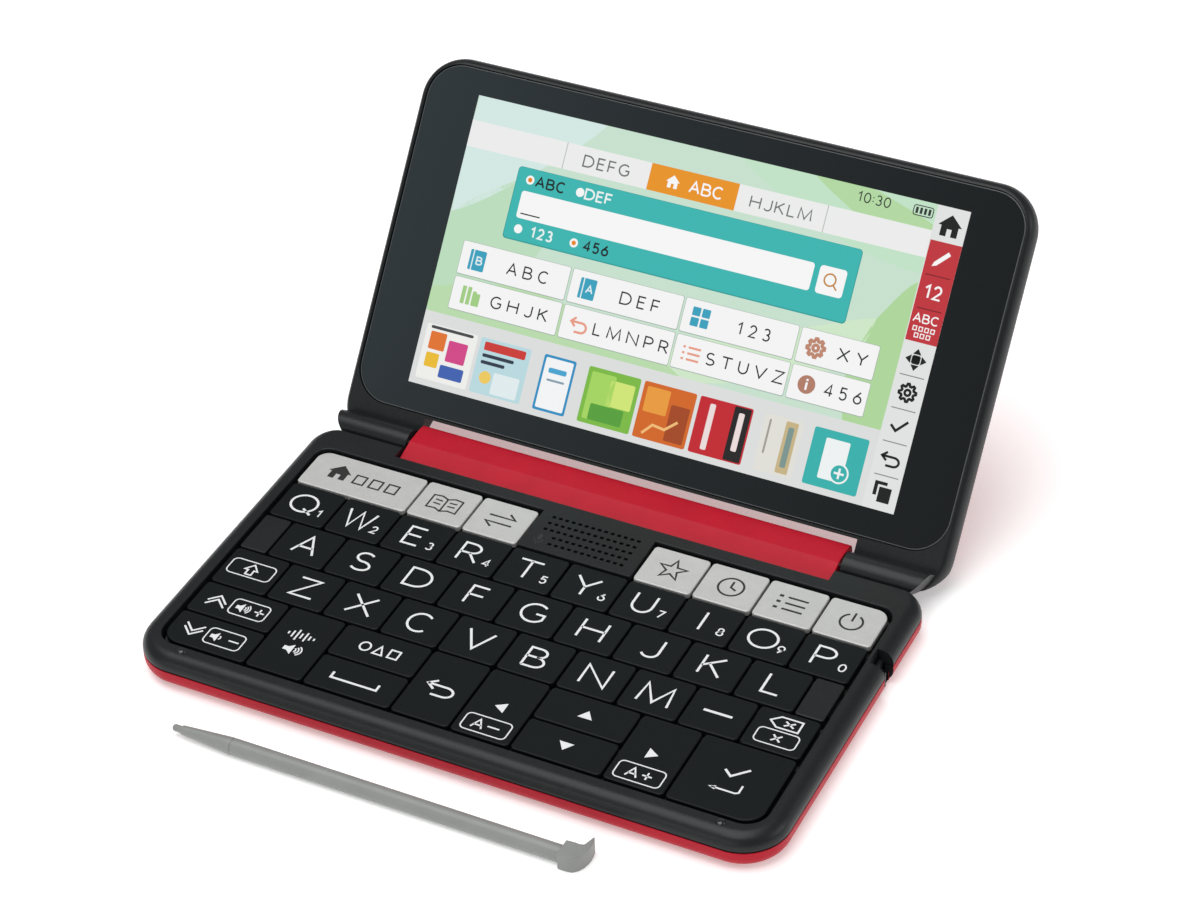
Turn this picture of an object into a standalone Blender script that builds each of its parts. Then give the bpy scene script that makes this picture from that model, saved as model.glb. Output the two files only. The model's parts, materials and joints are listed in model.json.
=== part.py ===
"""Electronic dictionary: a thin keyboard base, a display lid on a low hinge and a loose stylus.

X runs along the hinge, Y from the front edge to the hinge and Z up. The origin is on the underside
of the base, midway across the width and midway from the front edge to the back of the knuckles.
The lid is modelled shut, over the base, and then turned open about the hinge axis by its empty.
"""

import math

import bmesh
import bpy
from mathutils import Matrix, Vector

MM = 0.001

# Clearances
FIT_GAP = 0.3 * MM
HINGE_GAP = 0.4 * MM
HINGE_END_GAP = 0.7 * MM
OVERRUN = 5.0 * MM
EMBED = 0.5 * MM
TOUCHING = 0.001 * MM

# Whole object
CASE_WIDTH = 152.6 * MM
CASE_DEPTH = 93.9 * MM
PLAN_CORNER_RADIUS = 10.5 * MM
BACK_CORNER_RADIUS = 6.0 * MM
BASE_HEIGHT = 8.9 * MM
LID_GAP = 0.8 * MM
LID_THICKNESS = 7.5 * MM
LID_OPENING = math.radians(127.8)

# Hinge
HINGE_RADIUS = 3.5 * MM
HINGE_DROP = 2.8 * MM
SHAFT_RADIUS = 1.2 * MM
SHAFT_ENGAGEMENT = 9.0 * MM
KNUCKLE_LENGTH = 21.7 * MM
BAR_FRONT_OVERLAP = 4.4 * MM
BAR_REACH = 5.8 * MM
BAR_SEAT_DEPTH = 2.9 * MM
BAR_NOSE_HEIGHT = 1.4 * MM
BAR_NOSE_SETBACK = 0.7 * MM
BAR_REAR_DROP = 0.3 * MM
BAR_REAR_SETBACK = 0.5 * MM
BAR_FOOT_SETBACK = 4.5 * MM
BAR_FOOT_RISE = 3.5 * MM

# Base case
UPPER_CASE_HEIGHT = 3.5 * MM
FLOOR_THICKNESS = 1.2 * MM
TRAY_WALL = 2.0 * MM
SIDE_RIM_WIDTH = 4.5 * MM
BASE_TOP_ROUND = 2.6 * MM
BASE_BOTTOM_ROUND = 3.4 * MM
BUMPER_RADIUS = 1.1 * MM
BUMPER_RISE = 0.5 * MM
BUMPER_INSET = 12.5 * MM
POST_RADIUS = 2.0 * MM
POST_INSET = 5.0 * MM

# Keys
KEY_COLUMNS = 10
LETTER_ROW_SHARE = 0.1763
HALF_ROW_SHARE = 0.1461
FIELD_FRONT_MARGIN = 6.0 * MM
FIELD_BACK_MARGIN = 8.7 * MM
KEY_GAP = 0.56 * MM
WELL_MARGIN = 0.7 * MM
KEY_DROP = 0.3 * MM
CAP_HEIGHT = 1.4 * MM
CAP_CORNER_RADIUS = 0.6 * MM
CAP_CHAMFER = 0.25 * MM
KEY_TRAVEL = 0.8 * MM
STEM_WIDTH = 2.4 * MM
STEM_LENGTH = 1.6 * MM
BACK_KEY_RADIUS = 3.0 * MM
FRONT_LEFT_KEY_RADIUS = 4.0 * MM
FRONT_RIGHT_KEY_RADIUS = 4.6 * MM

# Inside the base
MAT_THICKNESS = 1.4 * MM
MAT_EDGE_GAP = 0.4 * MM
BOARD_THICKNESS = 0.8 * MM
BOARD_DEPTH = 14.6 * MM
BOARD_EDGE_GAP = 4.3 * MM
BATTERY_SIDE_GAP = 19.3 * MM
BATTERY_FRONT_GAP = 5.5 * MM
SPEAKER_MARGIN = 0.7 * MM

# Speaker panel
PANEL_THICKNESS = 1.5 * MM
SLOT_LENGTH = 0.95 * MM
SLOT_WIDTH = 0.5 * MM
SLOT_PITCH = 1.62 * MM
SLOT_ROW_PITCH = 2.2 * MM
SLOT_SETBACK = 6.0 * MM
SLOT_ROWS = 5
SLOT_COLUMNS = 14

# Stylus and its bore
STYLUS_RADIUS = 1.9 * MM
STYLUS_LENGTH = 93.2 * MM
STYLUS_FRONT_GAP = 11.2 * MM
STYLUS_TIP_X = -57.4 * MM
NIB_RADIUS = 0.8 * MM
NIB_LENGTH = 2.3 * MM
CONE_TIP_RADIUS = 1.0 * MM
CONE_LENGTH = 12.4 * MM
GROOVE_WIDTH = 0.35 * MM
GROOVE_DEPTH = 0.2 * MM
HEAD_HEIGHT = 4.3 * MM
HEAD_LENGTH = 5.4 * MM
HEAD_WIDTH = 7.8 * MM
BORE_WIDTH = 4.5 * MM
BORE_SETBACK = 2.05 * MM
BORE_RIB = 0.8 * MM
NOTCH_WIDTH = 4.9 * MM
NOTCH_DEPTH = 3.7 * MM

# Lid
LID_FRAME_DEPTH = 5.2 * MM
LID_BACK_ROUND = 4.2 * MM
LID_SLOT_DEPTH = 9.9 * MM
LID_HEEL_RADIUS = 5.0 * MM
KNUCKLE_FILL_SETBACK = 3.0 * MM
GLASS_RECESS = 0.3 * MM
GLASS_THICKNESS = 1.0 * MM
GLASS_SIDE_MARGIN = 2.0 * MM
GLASS_TOP_MARGIN = 1.8 * MM
GLASS_BOTTOM_MARGIN = 0.8 * MM
DISPLAY_SIDE_MARGIN = 15.15 * MM
DISPLAY_TOP_MARGIN = 7.85 * MM
DISPLAY_BOTTOM_MARGIN = 7.45 * MM
MODULE_BORDER = 2.8 * MM
MODULE_THICKNESS = 1.6 * MM
COVER_WALL = 1.2 * MM
COVER_POCKET_INSET = 7.0 * MM

# Facets of the round stretches
CORNER_SEGMENTS = 8
EDGE_SEGMENTS = 4
ROUND_SIDES = 24
ARC_STEPS = 8

# Heights in the base, from the underside up
KEY_TOP = BASE_HEIGHT - KEY_DROP
CAP_BOTTOM = KEY_TOP - CAP_HEIGHT
MAT_TOP = CAP_BOTTOM - KEY_TRAVEL - FIT_GAP
MAT_BOTTOM = MAT_TOP - MAT_THICKNESS
BOARD_TOP = MAT_BOTTOM - FIT_GAP
BOARD_BOTTOM = BOARD_TOP - BOARD_THICKNESS
RING_BOTTOM = BASE_HEIGHT - UPPER_CASE_HEIGHT
PARTING_HEIGHT = RING_BOTTOM - FIT_GAP
HINGE_HEIGHT = BASE_HEIGHT - HINGE_DROP
BAR_SEAT_HEIGHT = BASE_HEIGHT - BAR_SEAT_DEPTH
PANEL_BOTTOM = BASE_HEIGHT - PANEL_THICKNESS
BORE_ROOF = RING_BOTTOM + FIT_GAP
RESTING_HEIGHT = FLOOR_THICKNESS + FIT_GAP

# Places in plan
HALF_WIDTH = CASE_WIDTH / 2
CASE_FRONT = -CASE_DEPTH / 2
OBJECT_BACK = CASE_DEPTH / 2
HINGE_Y = OBJECT_BACK - HINGE_RADIUS
CASE_BACK = HINGE_Y - HINGE_RADIUS - HINGE_GAP
WELL_SIDE = HALF_WIDTH - SIDE_RIM_WIDTH
FIELD_RIGHT = WELL_SIDE - WELL_MARGIN
FIELD_LEFT = -FIELD_RIGHT
FIELD_FRONT = CASE_FRONT + FIELD_FRONT_MARGIN
FIELD_BACK = CASE_BACK - FIELD_BACK_MARGIN
KEY_PITCH = (FIELD_RIGHT - FIELD_LEFT) / KEY_COLUMNS
LETTER_ROW_DEPTH = LETTER_ROW_SHARE * (FIELD_BACK - FIELD_FRONT)
HALF_ROW_DEPTH = HALF_ROW_SHARE * (FIELD_BACK - FIELD_FRONT)
LOWER_ROW_FRONT = FIELD_FRONT
UPPER_ROW_FRONT = LOWER_ROW_FRONT + HALF_ROW_DEPTH
SHIFT_ROW_FRONT = UPPER_ROW_FRONT + HALF_ROW_DEPTH
HOME_ROW_FRONT = SHIFT_ROW_FRONT + LETTER_ROW_DEPTH
TOP_ROW_FRONT = HOME_ROW_FRONT + LETTER_ROW_DEPTH
FUNCTION_ROW_FRONT = TOP_ROW_FRONT + LETTER_ROW_DEPTH
FUNCTION_ROW_DEPTH = FIELD_BACK - FUNCTION_ROW_FRONT
WELL_FRONT = FIELD_FRONT - WELL_MARGIN
WELL_BACK = FIELD_BACK + WELL_MARGIN
MAT_SIDE = WELL_SIDE - MAT_EDGE_GAP
MAT_FRONT = WELL_FRONT + MAT_EDGE_GAP
MAT_BACK = WELL_BACK - MAT_EDGE_GAP
BORE_CENTRE_Y = FUNCTION_ROW_FRONT - BORE_SETBACK
BORE_FRONT = BORE_CENTRE_Y - BORE_WIDTH / 2
BORE_BACK = BORE_CENTRE_Y + BORE_WIDTH / 2
NOTCH_INNER_X = HALF_WIDTH - NOTCH_DEPTH
BORE_END_X = NOTCH_INNER_X - STYLUS_LENGTH - FIT_GAP
BOARD_BACK = BORE_FRONT - BORE_RIB - FIT_GAP
BOARD_FRONT = BOARD_BACK - BOARD_DEPTH
BOARD_SIDE = WELL_SIDE - BOARD_EDGE_GAP
BATTERY_BACK = BOARD_FRONT - FIT_GAP
BATTERY_FRONT = CASE_FRONT + TRAY_WALL + BATTERY_FRONT_GAP
BATTERY_SIDE = HALF_WIDTH - TRAY_WALL - BATTERY_SIDE_GAP
SPEAKER_FRONT = BORE_BACK + BORE_RIB + SPEAKER_MARGIN
SPEAKER_BACK = WELL_BACK - SPEAKER_MARGIN
PANEL_SPAN_SHARES = (4, 6)
BLANK_LEFT_END_SHARE = 0.5
BLANK_RIGHT_START_SHARE = 9.5

# Places in the shut lid
LID_RIM = BASE_HEIGHT + LID_GAP
LID_BACK = LID_RIM + LID_THICKNESS
FRAME_BACK = LID_RIM + LID_FRAME_DEPTH
COVER_FRONT = FRAME_BACK + FIT_GAP
SLOT_EDGE_Y = OBJECT_BACK - LID_SLOT_DEPTH
SLOT_HALF_LENGTH = HALF_WIDTH - KNUCKLE_LENGTH
BAR_HALF_LENGTH = SLOT_HALF_LENGTH - HINGE_END_GAP
GLASS_FRONT = LID_RIM + GLASS_RECESS
GLASS_BACK = GLASS_FRONT + GLASS_THICKNESS
GLASS_SIDE = HALF_WIDTH - GLASS_SIDE_MARGIN
GLASS_TOP_Y = CASE_FRONT + GLASS_TOP_MARGIN
GLASS_BOTTOM_Y = SLOT_EDGE_Y - GLASS_BOTTOM_MARGIN
GLASS_CORNER_RADIUS = PLAN_CORNER_RADIUS - GLASS_SIDE_MARGIN
DISPLAY_BOTTOM_Y = SLOT_EDGE_Y - DISPLAY_BOTTOM_MARGIN
DISPLAY_TOP_Y = CASE_FRONT + DISPLAY_TOP_MARGIN
MODULE_FRONT = GLASS_BACK + FIT_GAP
MODULE_SIDE = HALF_WIDTH - DISPLAY_SIDE_MARGIN + MODULE_BORDER
MODULE_TOP_Y = DISPLAY_TOP_Y - MODULE_BORDER
MODULE_BOTTOM_Y = DISPLAY_BOTTOM_Y + MODULE_BORDER
HEEL_CENTRE = Vector((SLOT_EDGE_Y - LID_HEEL_RADIUS, LID_BACK - LID_HEEL_RADIUS))
HINGE_CENTRE = Vector((HINGE_Y, HINGE_HEIGHT))
HINGE_CENTRE_ABOUT_X = (HINGE_Y, HINGE_HEIGHT)

# Colours as red, green and blue, with roughness and metallic value
BLACK_PLASTIC_LOOK = ((0.016, 0.019, 0.021), 0.42, 0.0)
KEY_LOOK = ((0.011, 0.013, 0.015), 0.38, 0.0)
SILVER_LOOK = ((0.52, 0.52, 0.52), 0.34, 0.6)
RED_LOOK = ((0.43, 0.010, 0.030), 0.35, 0.0)
RUBBER_LOOK = ((0.020, 0.020, 0.020), 0.8, 0.0)
BOARD_LOOK = ((0.010, 0.090, 0.040), 0.5, 0.0)
BATTERY_LOOK = ((0.30, 0.32, 0.34), 0.5, 0.3)
STEEL_LOOK = ((0.55, 0.55, 0.56), 0.3, 1.0)
GLASS_LOOK = ((0.008, 0.011, 0.013), 0.08, 0.0)
PANEL_LOOK = ((0.70, 0.80, 0.68), 0.4, 0.0)
STYLUS_LOOK = ((0.23, 0.24, 0.23), 0.45, 0.0)
SPEAKER_LOOK = ((0.05, 0.05, 0.05), 0.6, 0.0)

# Keys of each row: name, left edge and right edge, in key pitches from the left of the field
FUNCTION_KEY_SHARES = (
    ("home", 0, 2),
    ("book", 2, 3),
    ("translate", 3, 4),
    ("star", 6, 7),
    ("history", 7, 8),
    ("list", 8, 9),
    ("power", 9, 10),
)
HOME_ROW_START_SHARE = 0.5
SHIFT_ROW_START_SHARE = 1
SHIFT_KEY_SHARES = (("shift", 0, 1),)
DELETE_KEY_SHARES = (("dash", 8, 9), ("delete", 9, 10))
TALL_KEY_SHARES = (
    ("voice", 1.5, 2.5),
    ("back", 4, 5),
    ("left", 5, 6),
    ("right", 7.5, 8.5),
    ("enter", 8.5, 10),
)
UPPER_KEY_SHARES = (("page_up", 0, 1.5), ("symbol", 2.5, 4), ("up", 6, 7.5))
LOWER_KEY_SHARES = (("page_down", 0, 1.5), ("space", 2.5, 4), ("down", 6, 7.5))

# Plan of the stylus head: shares of its length from the shaft, and of its width from the front
HEAD_OUTLINE_SHARES = (
    (0.0, 0.0),
    (0.57, 0.01),
    (0.89, 0.26),
    (1.0, 0.49),
    (0.99, 0.76),
    (0.91, 1.0),
    (0.80, 0.77),
    (0.72, 0.58),
    (0.37, 0.60),
    (0.0, 0.58),
)
HEAD_FRONT_SHARE = 0.33


def clear_scene():
    for item in list(bpy.data.objects):
        bpy.data.objects.remove(item, do_unlink=True)


def new_collection(name):
    collection = bpy.data.collections.new(name)
    bpy.context.scene.collection.children.link(collection)
    return collection


clear_scene()
PARTS = new_collection("electronic_dictionary")
CUTTERS = new_collection("cutters")


def new_material(name, look):
    colour, roughness, metallic = look
    material = bpy.data.materials.new(name)
    material.use_nodes = True
    shader = material.node_tree.nodes["Principled BSDF"]
    shader.inputs["Base Color"].default_value = (*colour, 1.0)
    shader.inputs["Roughness"].default_value = roughness
    shader.inputs["Metallic"].default_value = metallic
    material.diffuse_color = (*colour, 1.0)
    return material


def add_object(name, shape, collection, place=None):
    """Turns a bmesh into an object, shaded smooth but for its sharp edges."""
    mesh = bpy.data.meshes.new(name)
    shape.to_mesh(mesh)
    shape.free()
    mesh.shade_smooth()
    mesh.set_sharp_from_angle(angle=math.radians(30))
    item = bpy.data.objects.new(name, mesh)
    collection.objects.link(item)
    if place is not None:
        item.location = place
    return item


def add_part(name, shape, look, place=None):
    item = add_object(name, shape, PARTS, place)
    item.data.materials.append(new_material(name, look))
    return item


def add_cutter(name, shape):
    item = add_object(name, shape, CUTTERS)
    item.hide_render = True
    item.display_type = "WIRE"
    return item


def combine(item, tool, operation):
    modifier = item.modifiers.new(f"{operation.lower()} {tool.name}", "BOOLEAN")
    modifier.operation = operation
    modifier.solver = "EXACT"
    modifier.object = tool


def cut(item, tool):
    combine(item, tool, "DIFFERENCE")


def join(item, tool):
    combine(item, tool, "UNION")


def add_box(shape, low, high):
    """Adds a box between two corners to a bmesh."""
    low = Vector(low)
    high = Vector(high)
    size = Matrix.Diagonal((*(high - low), 1))
    place = Matrix.Translation((low + high) / 2)
    bmesh.ops.create_cube(shape, size=1.0, matrix=place @ size)


def box(low, high):
    shape = bmesh.new()
    add_box(shape, low, high)
    return shape


def bevel(shape, edges, width, segments):
    bmesh.ops.bevel(
        shape,
        geom=edges,
        offset=width,
        offset_type="OFFSET",
        segments=segments,
        profile=0.5,
        affect="EDGES",
        clamp_overlap=True,
    )


def edges_at_height(shape, height):
    return [e for e in shape.edges if all(abs(v.co.z - height) < TOUCHING for v in e.verts)]


def upright_edge(shape, centre, corner):
    """The upright edge of a box at one corner of its plan, such as (-1, 1) for the back left."""
    for edge in shape.edges:
        first, second = edge.verts
        upright = (first.co.xy - second.co.xy).length < TOUCHING
        offset = first.co.xy - centre
        if upright and offset.x * corner[0] > 0 and offset.y * corner[1] > 0:
            return edge
    return None


def rounded_block(low, high, radii, top=0, bottom=0, corner_segments=CORNER_SEGMENTS):
    """A box whose plan corners are rounded; radii are front left, front right, back right, back left."""
    shape = box(low, high)
    centre = (Vector(low).xy + Vector(high).xy) / 2
    for corner, radius in zip(((-1, -1), (1, -1), (1, 1), (-1, 1)), radii):
        if radius:
            bevel(shape, [upright_edge(shape, centre, corner)], radius, corner_segments)
    if top:
        bevel(shape, edges_at_height(shape, high[2]), top, EDGE_SEGMENTS)
    if bottom:
        bevel(shape, edges_at_height(shape, low[2]), bottom, EDGE_SEGMENTS)
    return shape


def prism(outline, left, right):
    """An outline of (y, z) points, listed either way round, drawn out along X."""
    shape = bmesh.new()
    corners = [shape.verts.new((left, y, z)) for y, z in outline]
    face = shape.faces.new(corners)
    drawn = bmesh.ops.extrude_face_region(shape, geom=[face])
    moved = [v for v in drawn["geom"] if isinstance(v, bmesh.types.BMVert)]
    bmesh.ops.translate(shape, verts=moved, vec=(right - left, 0, 0))
    bmesh.ops.recalc_face_normals(shape, faces=shape.faces)
    return shape


def cylinder(radius, low, high, centre, sides=ROUND_SIDES, axis="Z"):
    """A closed cylinder between two places on its axis; the centre gives the other two coordinates."""
    shape = bmesh.new()
    middle = (low + high) / 2
    if axis == "X":
        place = Matrix.Translation((middle, *centre)) @ Matrix.Rotation(math.pi / 2, 4, "Y")
    else:
        place = Matrix.Translation((*centre, middle))
    bmesh.ops.create_cone(
        shape,
        cap_ends=True,
        segments=sides,
        radius1=radius,
        radius2=radius,
        depth=high - low,
        matrix=place,
    )
    return shape


def arc(centre, radius, start, end, steps=ARC_STEPS):
    """Points on a circle from one angle to another, in radians from +Y towards +Z."""
    turns = [start + (end - start) * step / steps for step in range(steps + 1)]
    return [(centre[0] + radius * math.cos(t), centre[1] + radius * math.sin(t)) for t in turns]


def field_x(share):
    return FIELD_LEFT + share * KEY_PITCH


# Keys
def key_cap(width, depth, radii):
    """A chamfered cap with its underside on z = 0 and a guide stem below it, as one closed body."""
    shape = box((-width / 2, -depth / 2, 0), (width / 2, depth / 2, CAP_HEIGHT))
    for corner, radius in zip(((-1, -1), (1, -1), (1, 1), (-1, 1)), radii):
        segments = EDGE_SEGMENTS if radius > CAP_CORNER_RADIUS else 1
        bevel(shape, [upright_edge(shape, Vector((0, 0)), corner)], radius, segments)
    bevel(shape, edges_at_height(shape, CAP_HEIGHT), CAP_CHAMFER, 1)
    underside = min(shape.faces, key=lambda face: face.calc_center_median().z)
    bmesh.ops.inset_region(shape, faces=[underside], thickness=CAP_CHAMFER)
    narrowing = (
        STEM_WIDTH / (width - 2 * CAP_CHAMFER),
        STEM_WIDTH / (depth - 2 * CAP_CHAMFER),
        1,
    )
    bmesh.ops.scale(shape, vec=narrowing, verts=underside.verts)
    drawn = bmesh.ops.extrude_discrete_faces(shape, faces=[underside])
    bmesh.ops.translate(shape, verts=drawn["faces"][0].verts, vec=(0, 0, -STEM_LENGTH))
    return shape


def add_key(name, shares, front, depth, look=KEY_LOOK, radii=None):
    """A key in its cell of the field; the origin is under its cap, on the line that it slides along."""
    left = field_x(shares[0]) + KEY_GAP / 2
    right = field_x(shares[1]) - KEY_GAP / 2
    radii = radii or [CAP_CORNER_RADIUS] * 4
    shape = key_cap(right - left, depth - KEY_GAP, radii)
    place = ((left + right) / 2, front + depth / 2, CAP_BOTTOM)
    return add_part(f"key_{name}", shape, look, place)


def letter_row(letters, start_share, front):
    return [
        add_key(letter, (start_share + index, start_share + index + 1), front, LETTER_ROW_DEPTH)
        for index, letter in enumerate(letters)
    ]


def add_function_row():
    rounded = {
        "home": [CAP_CORNER_RADIUS] * 3 + [BACK_KEY_RADIUS],
        "power": [CAP_CORNER_RADIUS] * 2 + [BACK_KEY_RADIUS, CAP_CORNER_RADIUS],
    }
    return [
        add_key(name, shares, FUNCTION_ROW_FRONT, FUNCTION_ROW_DEPTH, SILVER_LOOK, rounded.get(name))
        for name, *shares in FUNCTION_KEY_SHARES
    ]


def add_bottom_rows():
    rounded = {
        "page_down": [FRONT_LEFT_KEY_RADIUS] + [CAP_CORNER_RADIUS] * 3,
        "enter": [CAP_CORNER_RADIUS, FRONT_RIGHT_KEY_RADIUS] + [CAP_CORNER_RADIUS] * 2,
    }
    rows = (
        (TALL_KEY_SHARES, LOWER_ROW_FRONT, 2 * HALF_ROW_DEPTH),
        (UPPER_KEY_SHARES, UPPER_ROW_FRONT, HALF_ROW_DEPTH),
        (LOWER_KEY_SHARES, LOWER_ROW_FRONT, HALF_ROW_DEPTH),
    )
    return [
        add_key(name, shares, front, depth, radii=rounded.get(name))
        for keys, front, depth in rows
        for name, *shares in keys
    ]


def add_keys():
    keys = add_function_row()
    keys += letter_row("qwertyuiop", 0, TOP_ROW_FRONT)
    keys += letter_row("asdfghjkl", HOME_ROW_START_SHARE, HOME_ROW_FRONT)
    keys += letter_row("zxcvbnm", SHIFT_ROW_START_SHARE, SHIFT_ROW_FRONT)
    for name, *shares in SHIFT_KEY_SHARES + DELETE_KEY_SHARES:
        keys.append(add_key(name, shares, SHIFT_ROW_FRONT, LETTER_ROW_DEPTH))
    return keys + add_bottom_rows()


# Cutters that more than one piece of the base uses
def stylus_notch():
    low = (NOTCH_INNER_X, BORE_CENTRE_Y - NOTCH_WIDTH / 2, FLOOR_THICKNESS)
    high = (HALF_WIDTH + OVERRUN, BORE_CENTRE_Y + NOTCH_WIDTH / 2, BASE_HEIGHT + OVERRUN)
    return add_cutter("stylus_notch", box(low, high))


def speaker_panel_block():
    left = field_x(PANEL_SPAN_SHARES[0]) + KEY_GAP / 2
    right = field_x(PANEL_SPAN_SHARES[1]) - KEY_GAP / 2
    low = (left, FUNCTION_ROW_FRONT + KEY_GAP / 2, RING_BOTTOM - OVERRUN)
    high = (right, WELL_BACK + EMBED, BASE_HEIGHT + OVERRUN)
    return add_cutter("speaker_panel_block", box(low, high))


# Base case
def case_radii(inset):
    """Plan corner radii of the base, or of an outline that runs inside it at this distance."""
    radii = (PLAN_CORNER_RADIUS, PLAN_CORNER_RADIUS, BACK_CORNER_RADIUS, BACK_CORNER_RADIUS)
    return [radius - inset for radius in radii]


def add_upper_case(notch):
    """The black rim round the keys, with the speaker panel, two blank blocks and two lid bumpers."""
    low = (-HALF_WIDTH, CASE_FRONT, RING_BOTTOM)
    high = (HALF_WIDTH, CASE_BACK, BASE_HEIGHT)
    shape = rounded_block(low, high, case_radii(0), top=BASE_TOP_ROUND)
    case = add_part("base_upper_case", shape, BLACK_PLASTIC_LOOK)
    panel = speaker_panel_block()
    well = add_cutter("key_well", key_well())
    cut(well, panel)
    cut(case, well)
    cut(case, add_cutter("panel_underside", panel_underside()))
    cut(case, add_cutter("speaker_slots", speaker_slots()))
    cut(case, add_cutter("hinge_bar_seat", hinge_bar_seat()))
    cut(case, notch)
    for side in (-1, 1):
        join(case, add_cutter(f"blank_block_{side}", blank_block(side)))
        join(case, add_cutter(f"blank_bridge_{side}", blank_bridge(side)))
    rim_middle = (WELL_FRONT + CASE_FRONT + BASE_TOP_ROUND) / 2
    for side in (-1, 1):
        ends = (BASE_HEIGHT - EMBED, BASE_HEIGHT + BUMPER_RISE)
        place = (side * (HALF_WIDTH - BUMPER_INSET), rim_middle)
        join(case, add_cutter(f"bumper_{side}", cylinder(BUMPER_RADIUS, *ends, place)))
    return case


def field_radii(margin):
    """Plan corner radii of an outline that runs round the corner keys at this distance."""
    keys = (FRONT_LEFT_KEY_RADIUS, FRONT_RIGHT_KEY_RADIUS, BACK_KEY_RADIUS, BACK_KEY_RADIUS)
    return [radius + margin for radius in keys]


def key_well():
    low = (-WELL_SIDE, WELL_FRONT, RING_BOTTOM - OVERRUN)
    high = (WELL_SIDE, WELL_BACK, BASE_HEIGHT + OVERRUN)
    return rounded_block(low, high, field_radii(WELL_MARGIN))


def panel_underside():
    left = field_x(PANEL_SPAN_SHARES[0])
    right = field_x(PANEL_SPAN_SHARES[1])
    low = (left, FUNCTION_ROW_FRONT, RING_BOTTOM - OVERRUN)
    return box(low, (right, WELL_BACK, PANEL_BOTTOM))


def speaker_slots():
    """Rows of short slots through the panel, nearer to its back than to its front."""
    shape = bmesh.new()
    for row in range(SLOT_ROWS):
        y = WELL_BACK - SLOT_SETBACK + (row - (SLOT_ROWS - 1) / 2) * SLOT_ROW_PITCH
        for column in range(SLOT_COLUMNS):
            x = (column - (SLOT_COLUMNS - 1) / 2) * SLOT_PITCH
            low = (x - SLOT_LENGTH / 2, y - SLOT_WIDTH / 2, PANEL_BOTTOM - EMBED)
            high = (x + SLOT_LENGTH / 2, y + SLOT_WIDTH / 2, BASE_HEIGHT + EMBED)
            add_box(shape, low, high)
    return shape


def hinge_bar_seat():
    reach = BAR_HALF_LENGTH + FIT_GAP
    low = (-reach, CASE_BACK - BAR_FRONT_OVERLAP - FIT_GAP, BAR_SEAT_HEIGHT)
    return box(low, (reach, CASE_BACK + OVERRUN, BASE_HEIGHT + OVERRUN))


def blank_ends(side):
    if side < 0:
        return FIELD_LEFT + KEY_GAP / 2, field_x(BLANK_LEFT_END_SHARE) - KEY_GAP / 2
    return field_x(BLANK_RIGHT_START_SHARE) + KEY_GAP / 2, FIELD_RIGHT - KEY_GAP / 2


def blank_block(side):
    """A fixed block shaped as a key cap, at one end of the home row."""
    left, right = blank_ends(side)
    low = (left, HOME_ROW_FRONT + KEY_GAP / 2, MAT_TOP + FIT_GAP)
    high = (right, HOME_ROW_FRONT + LETTER_ROW_DEPTH - KEY_GAP / 2, KEY_TOP)
    radii = [CAP_CORNER_RADIUS] * 4
    return rounded_block(low, high, radii, top=CAP_CHAMFER, corner_segments=1)


def blank_bridge(side):
    """Carries a blank block on the side wall of the well, below the gap round the block."""
    left, right = blank_ends(side)
    inner = right if side < 0 else left
    outer = side * (WELL_SIDE + EMBED)
    inset = KEY_GAP / 2 + 2 * CAP_CORNER_RADIUS
    front = HOME_ROW_FRONT + inset
    back = HOME_ROW_FRONT + LETTER_ROW_DEPTH - inset
    ends = sorted((inner + side * EMBED, outer))
    low = (ends[0], front, MAT_TOP + FIT_GAP + EMBED / 2)
    return box(low, (ends[1], back, CAP_BOTTOM + EMBED / 2))


def add_lower_case(notch):
    """The red tray, with the rounded underside, the stylus bore's ribs and four posts for the board."""
    low = (-HALF_WIDTH, CASE_FRONT, 0)
    high = (HALF_WIDTH, CASE_BACK, PARTING_HEIGHT)
    shape = rounded_block(low, high, case_radii(0), bottom=BASE_BOTTOM_ROUND)
    case = add_part("base_lower_case", shape, RED_LOOK)
    low = (-HALF_WIDTH + TRAY_WALL, CASE_FRONT + TRAY_WALL, FLOOR_THICKNESS)
    high = (HALF_WIDTH - TRAY_WALL, CASE_BACK - TRAY_WALL, PARTING_HEIGHT + OVERRUN)
    inside = rounded_block(low, high, case_radii(TRAY_WALL))
    cut(case, add_cutter("tray_inside", inside))
    for name, rib in bore_ribs().items():
        join(case, add_cutter(name, rib))
    for x_side in (-1, 1):
        for y_side in (-1, 1):
            centre = board_post_place(x_side, y_side)
            post = cylinder(POST_RADIUS, FLOOR_THICKNESS - EMBED, BOARD_BOTTOM - FIT_GAP, centre)
            join(case, add_cutter(f"post_{x_side}_{y_side}", post))
    cut(case, notch)
    return case


def bore_ribs():
    """The two side ribs and the end rib of the stylus bore, standing on the floor of the tray."""
    floor = FLOOR_THICKNESS - EMBED
    top = BOARD_TOP
    wall = HALF_WIDTH - TRAY_WALL + EMBED
    end = BORE_END_X - BORE_RIB
    return {
        "bore_rib_front": box((end, BORE_FRONT - BORE_RIB, floor), (wall, BORE_FRONT, top)),
        "bore_rib_back": box((end, BORE_BACK, floor), (wall, BORE_BACK + BORE_RIB, top)),
        "bore_rib_end": box((end, BORE_FRONT - EMBED, floor), (BORE_END_X, BORE_BACK + EMBED, top)),
    }


def board_post_place(x_side, y_side):
    middle = (BOARD_FRONT + BOARD_BACK) / 2
    reach = (BOARD_BACK - BOARD_FRONT) / 2 - POST_INSET / 2
    return (x_side * (BOARD_SIDE - POST_INSET), middle + y_side * reach)


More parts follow.
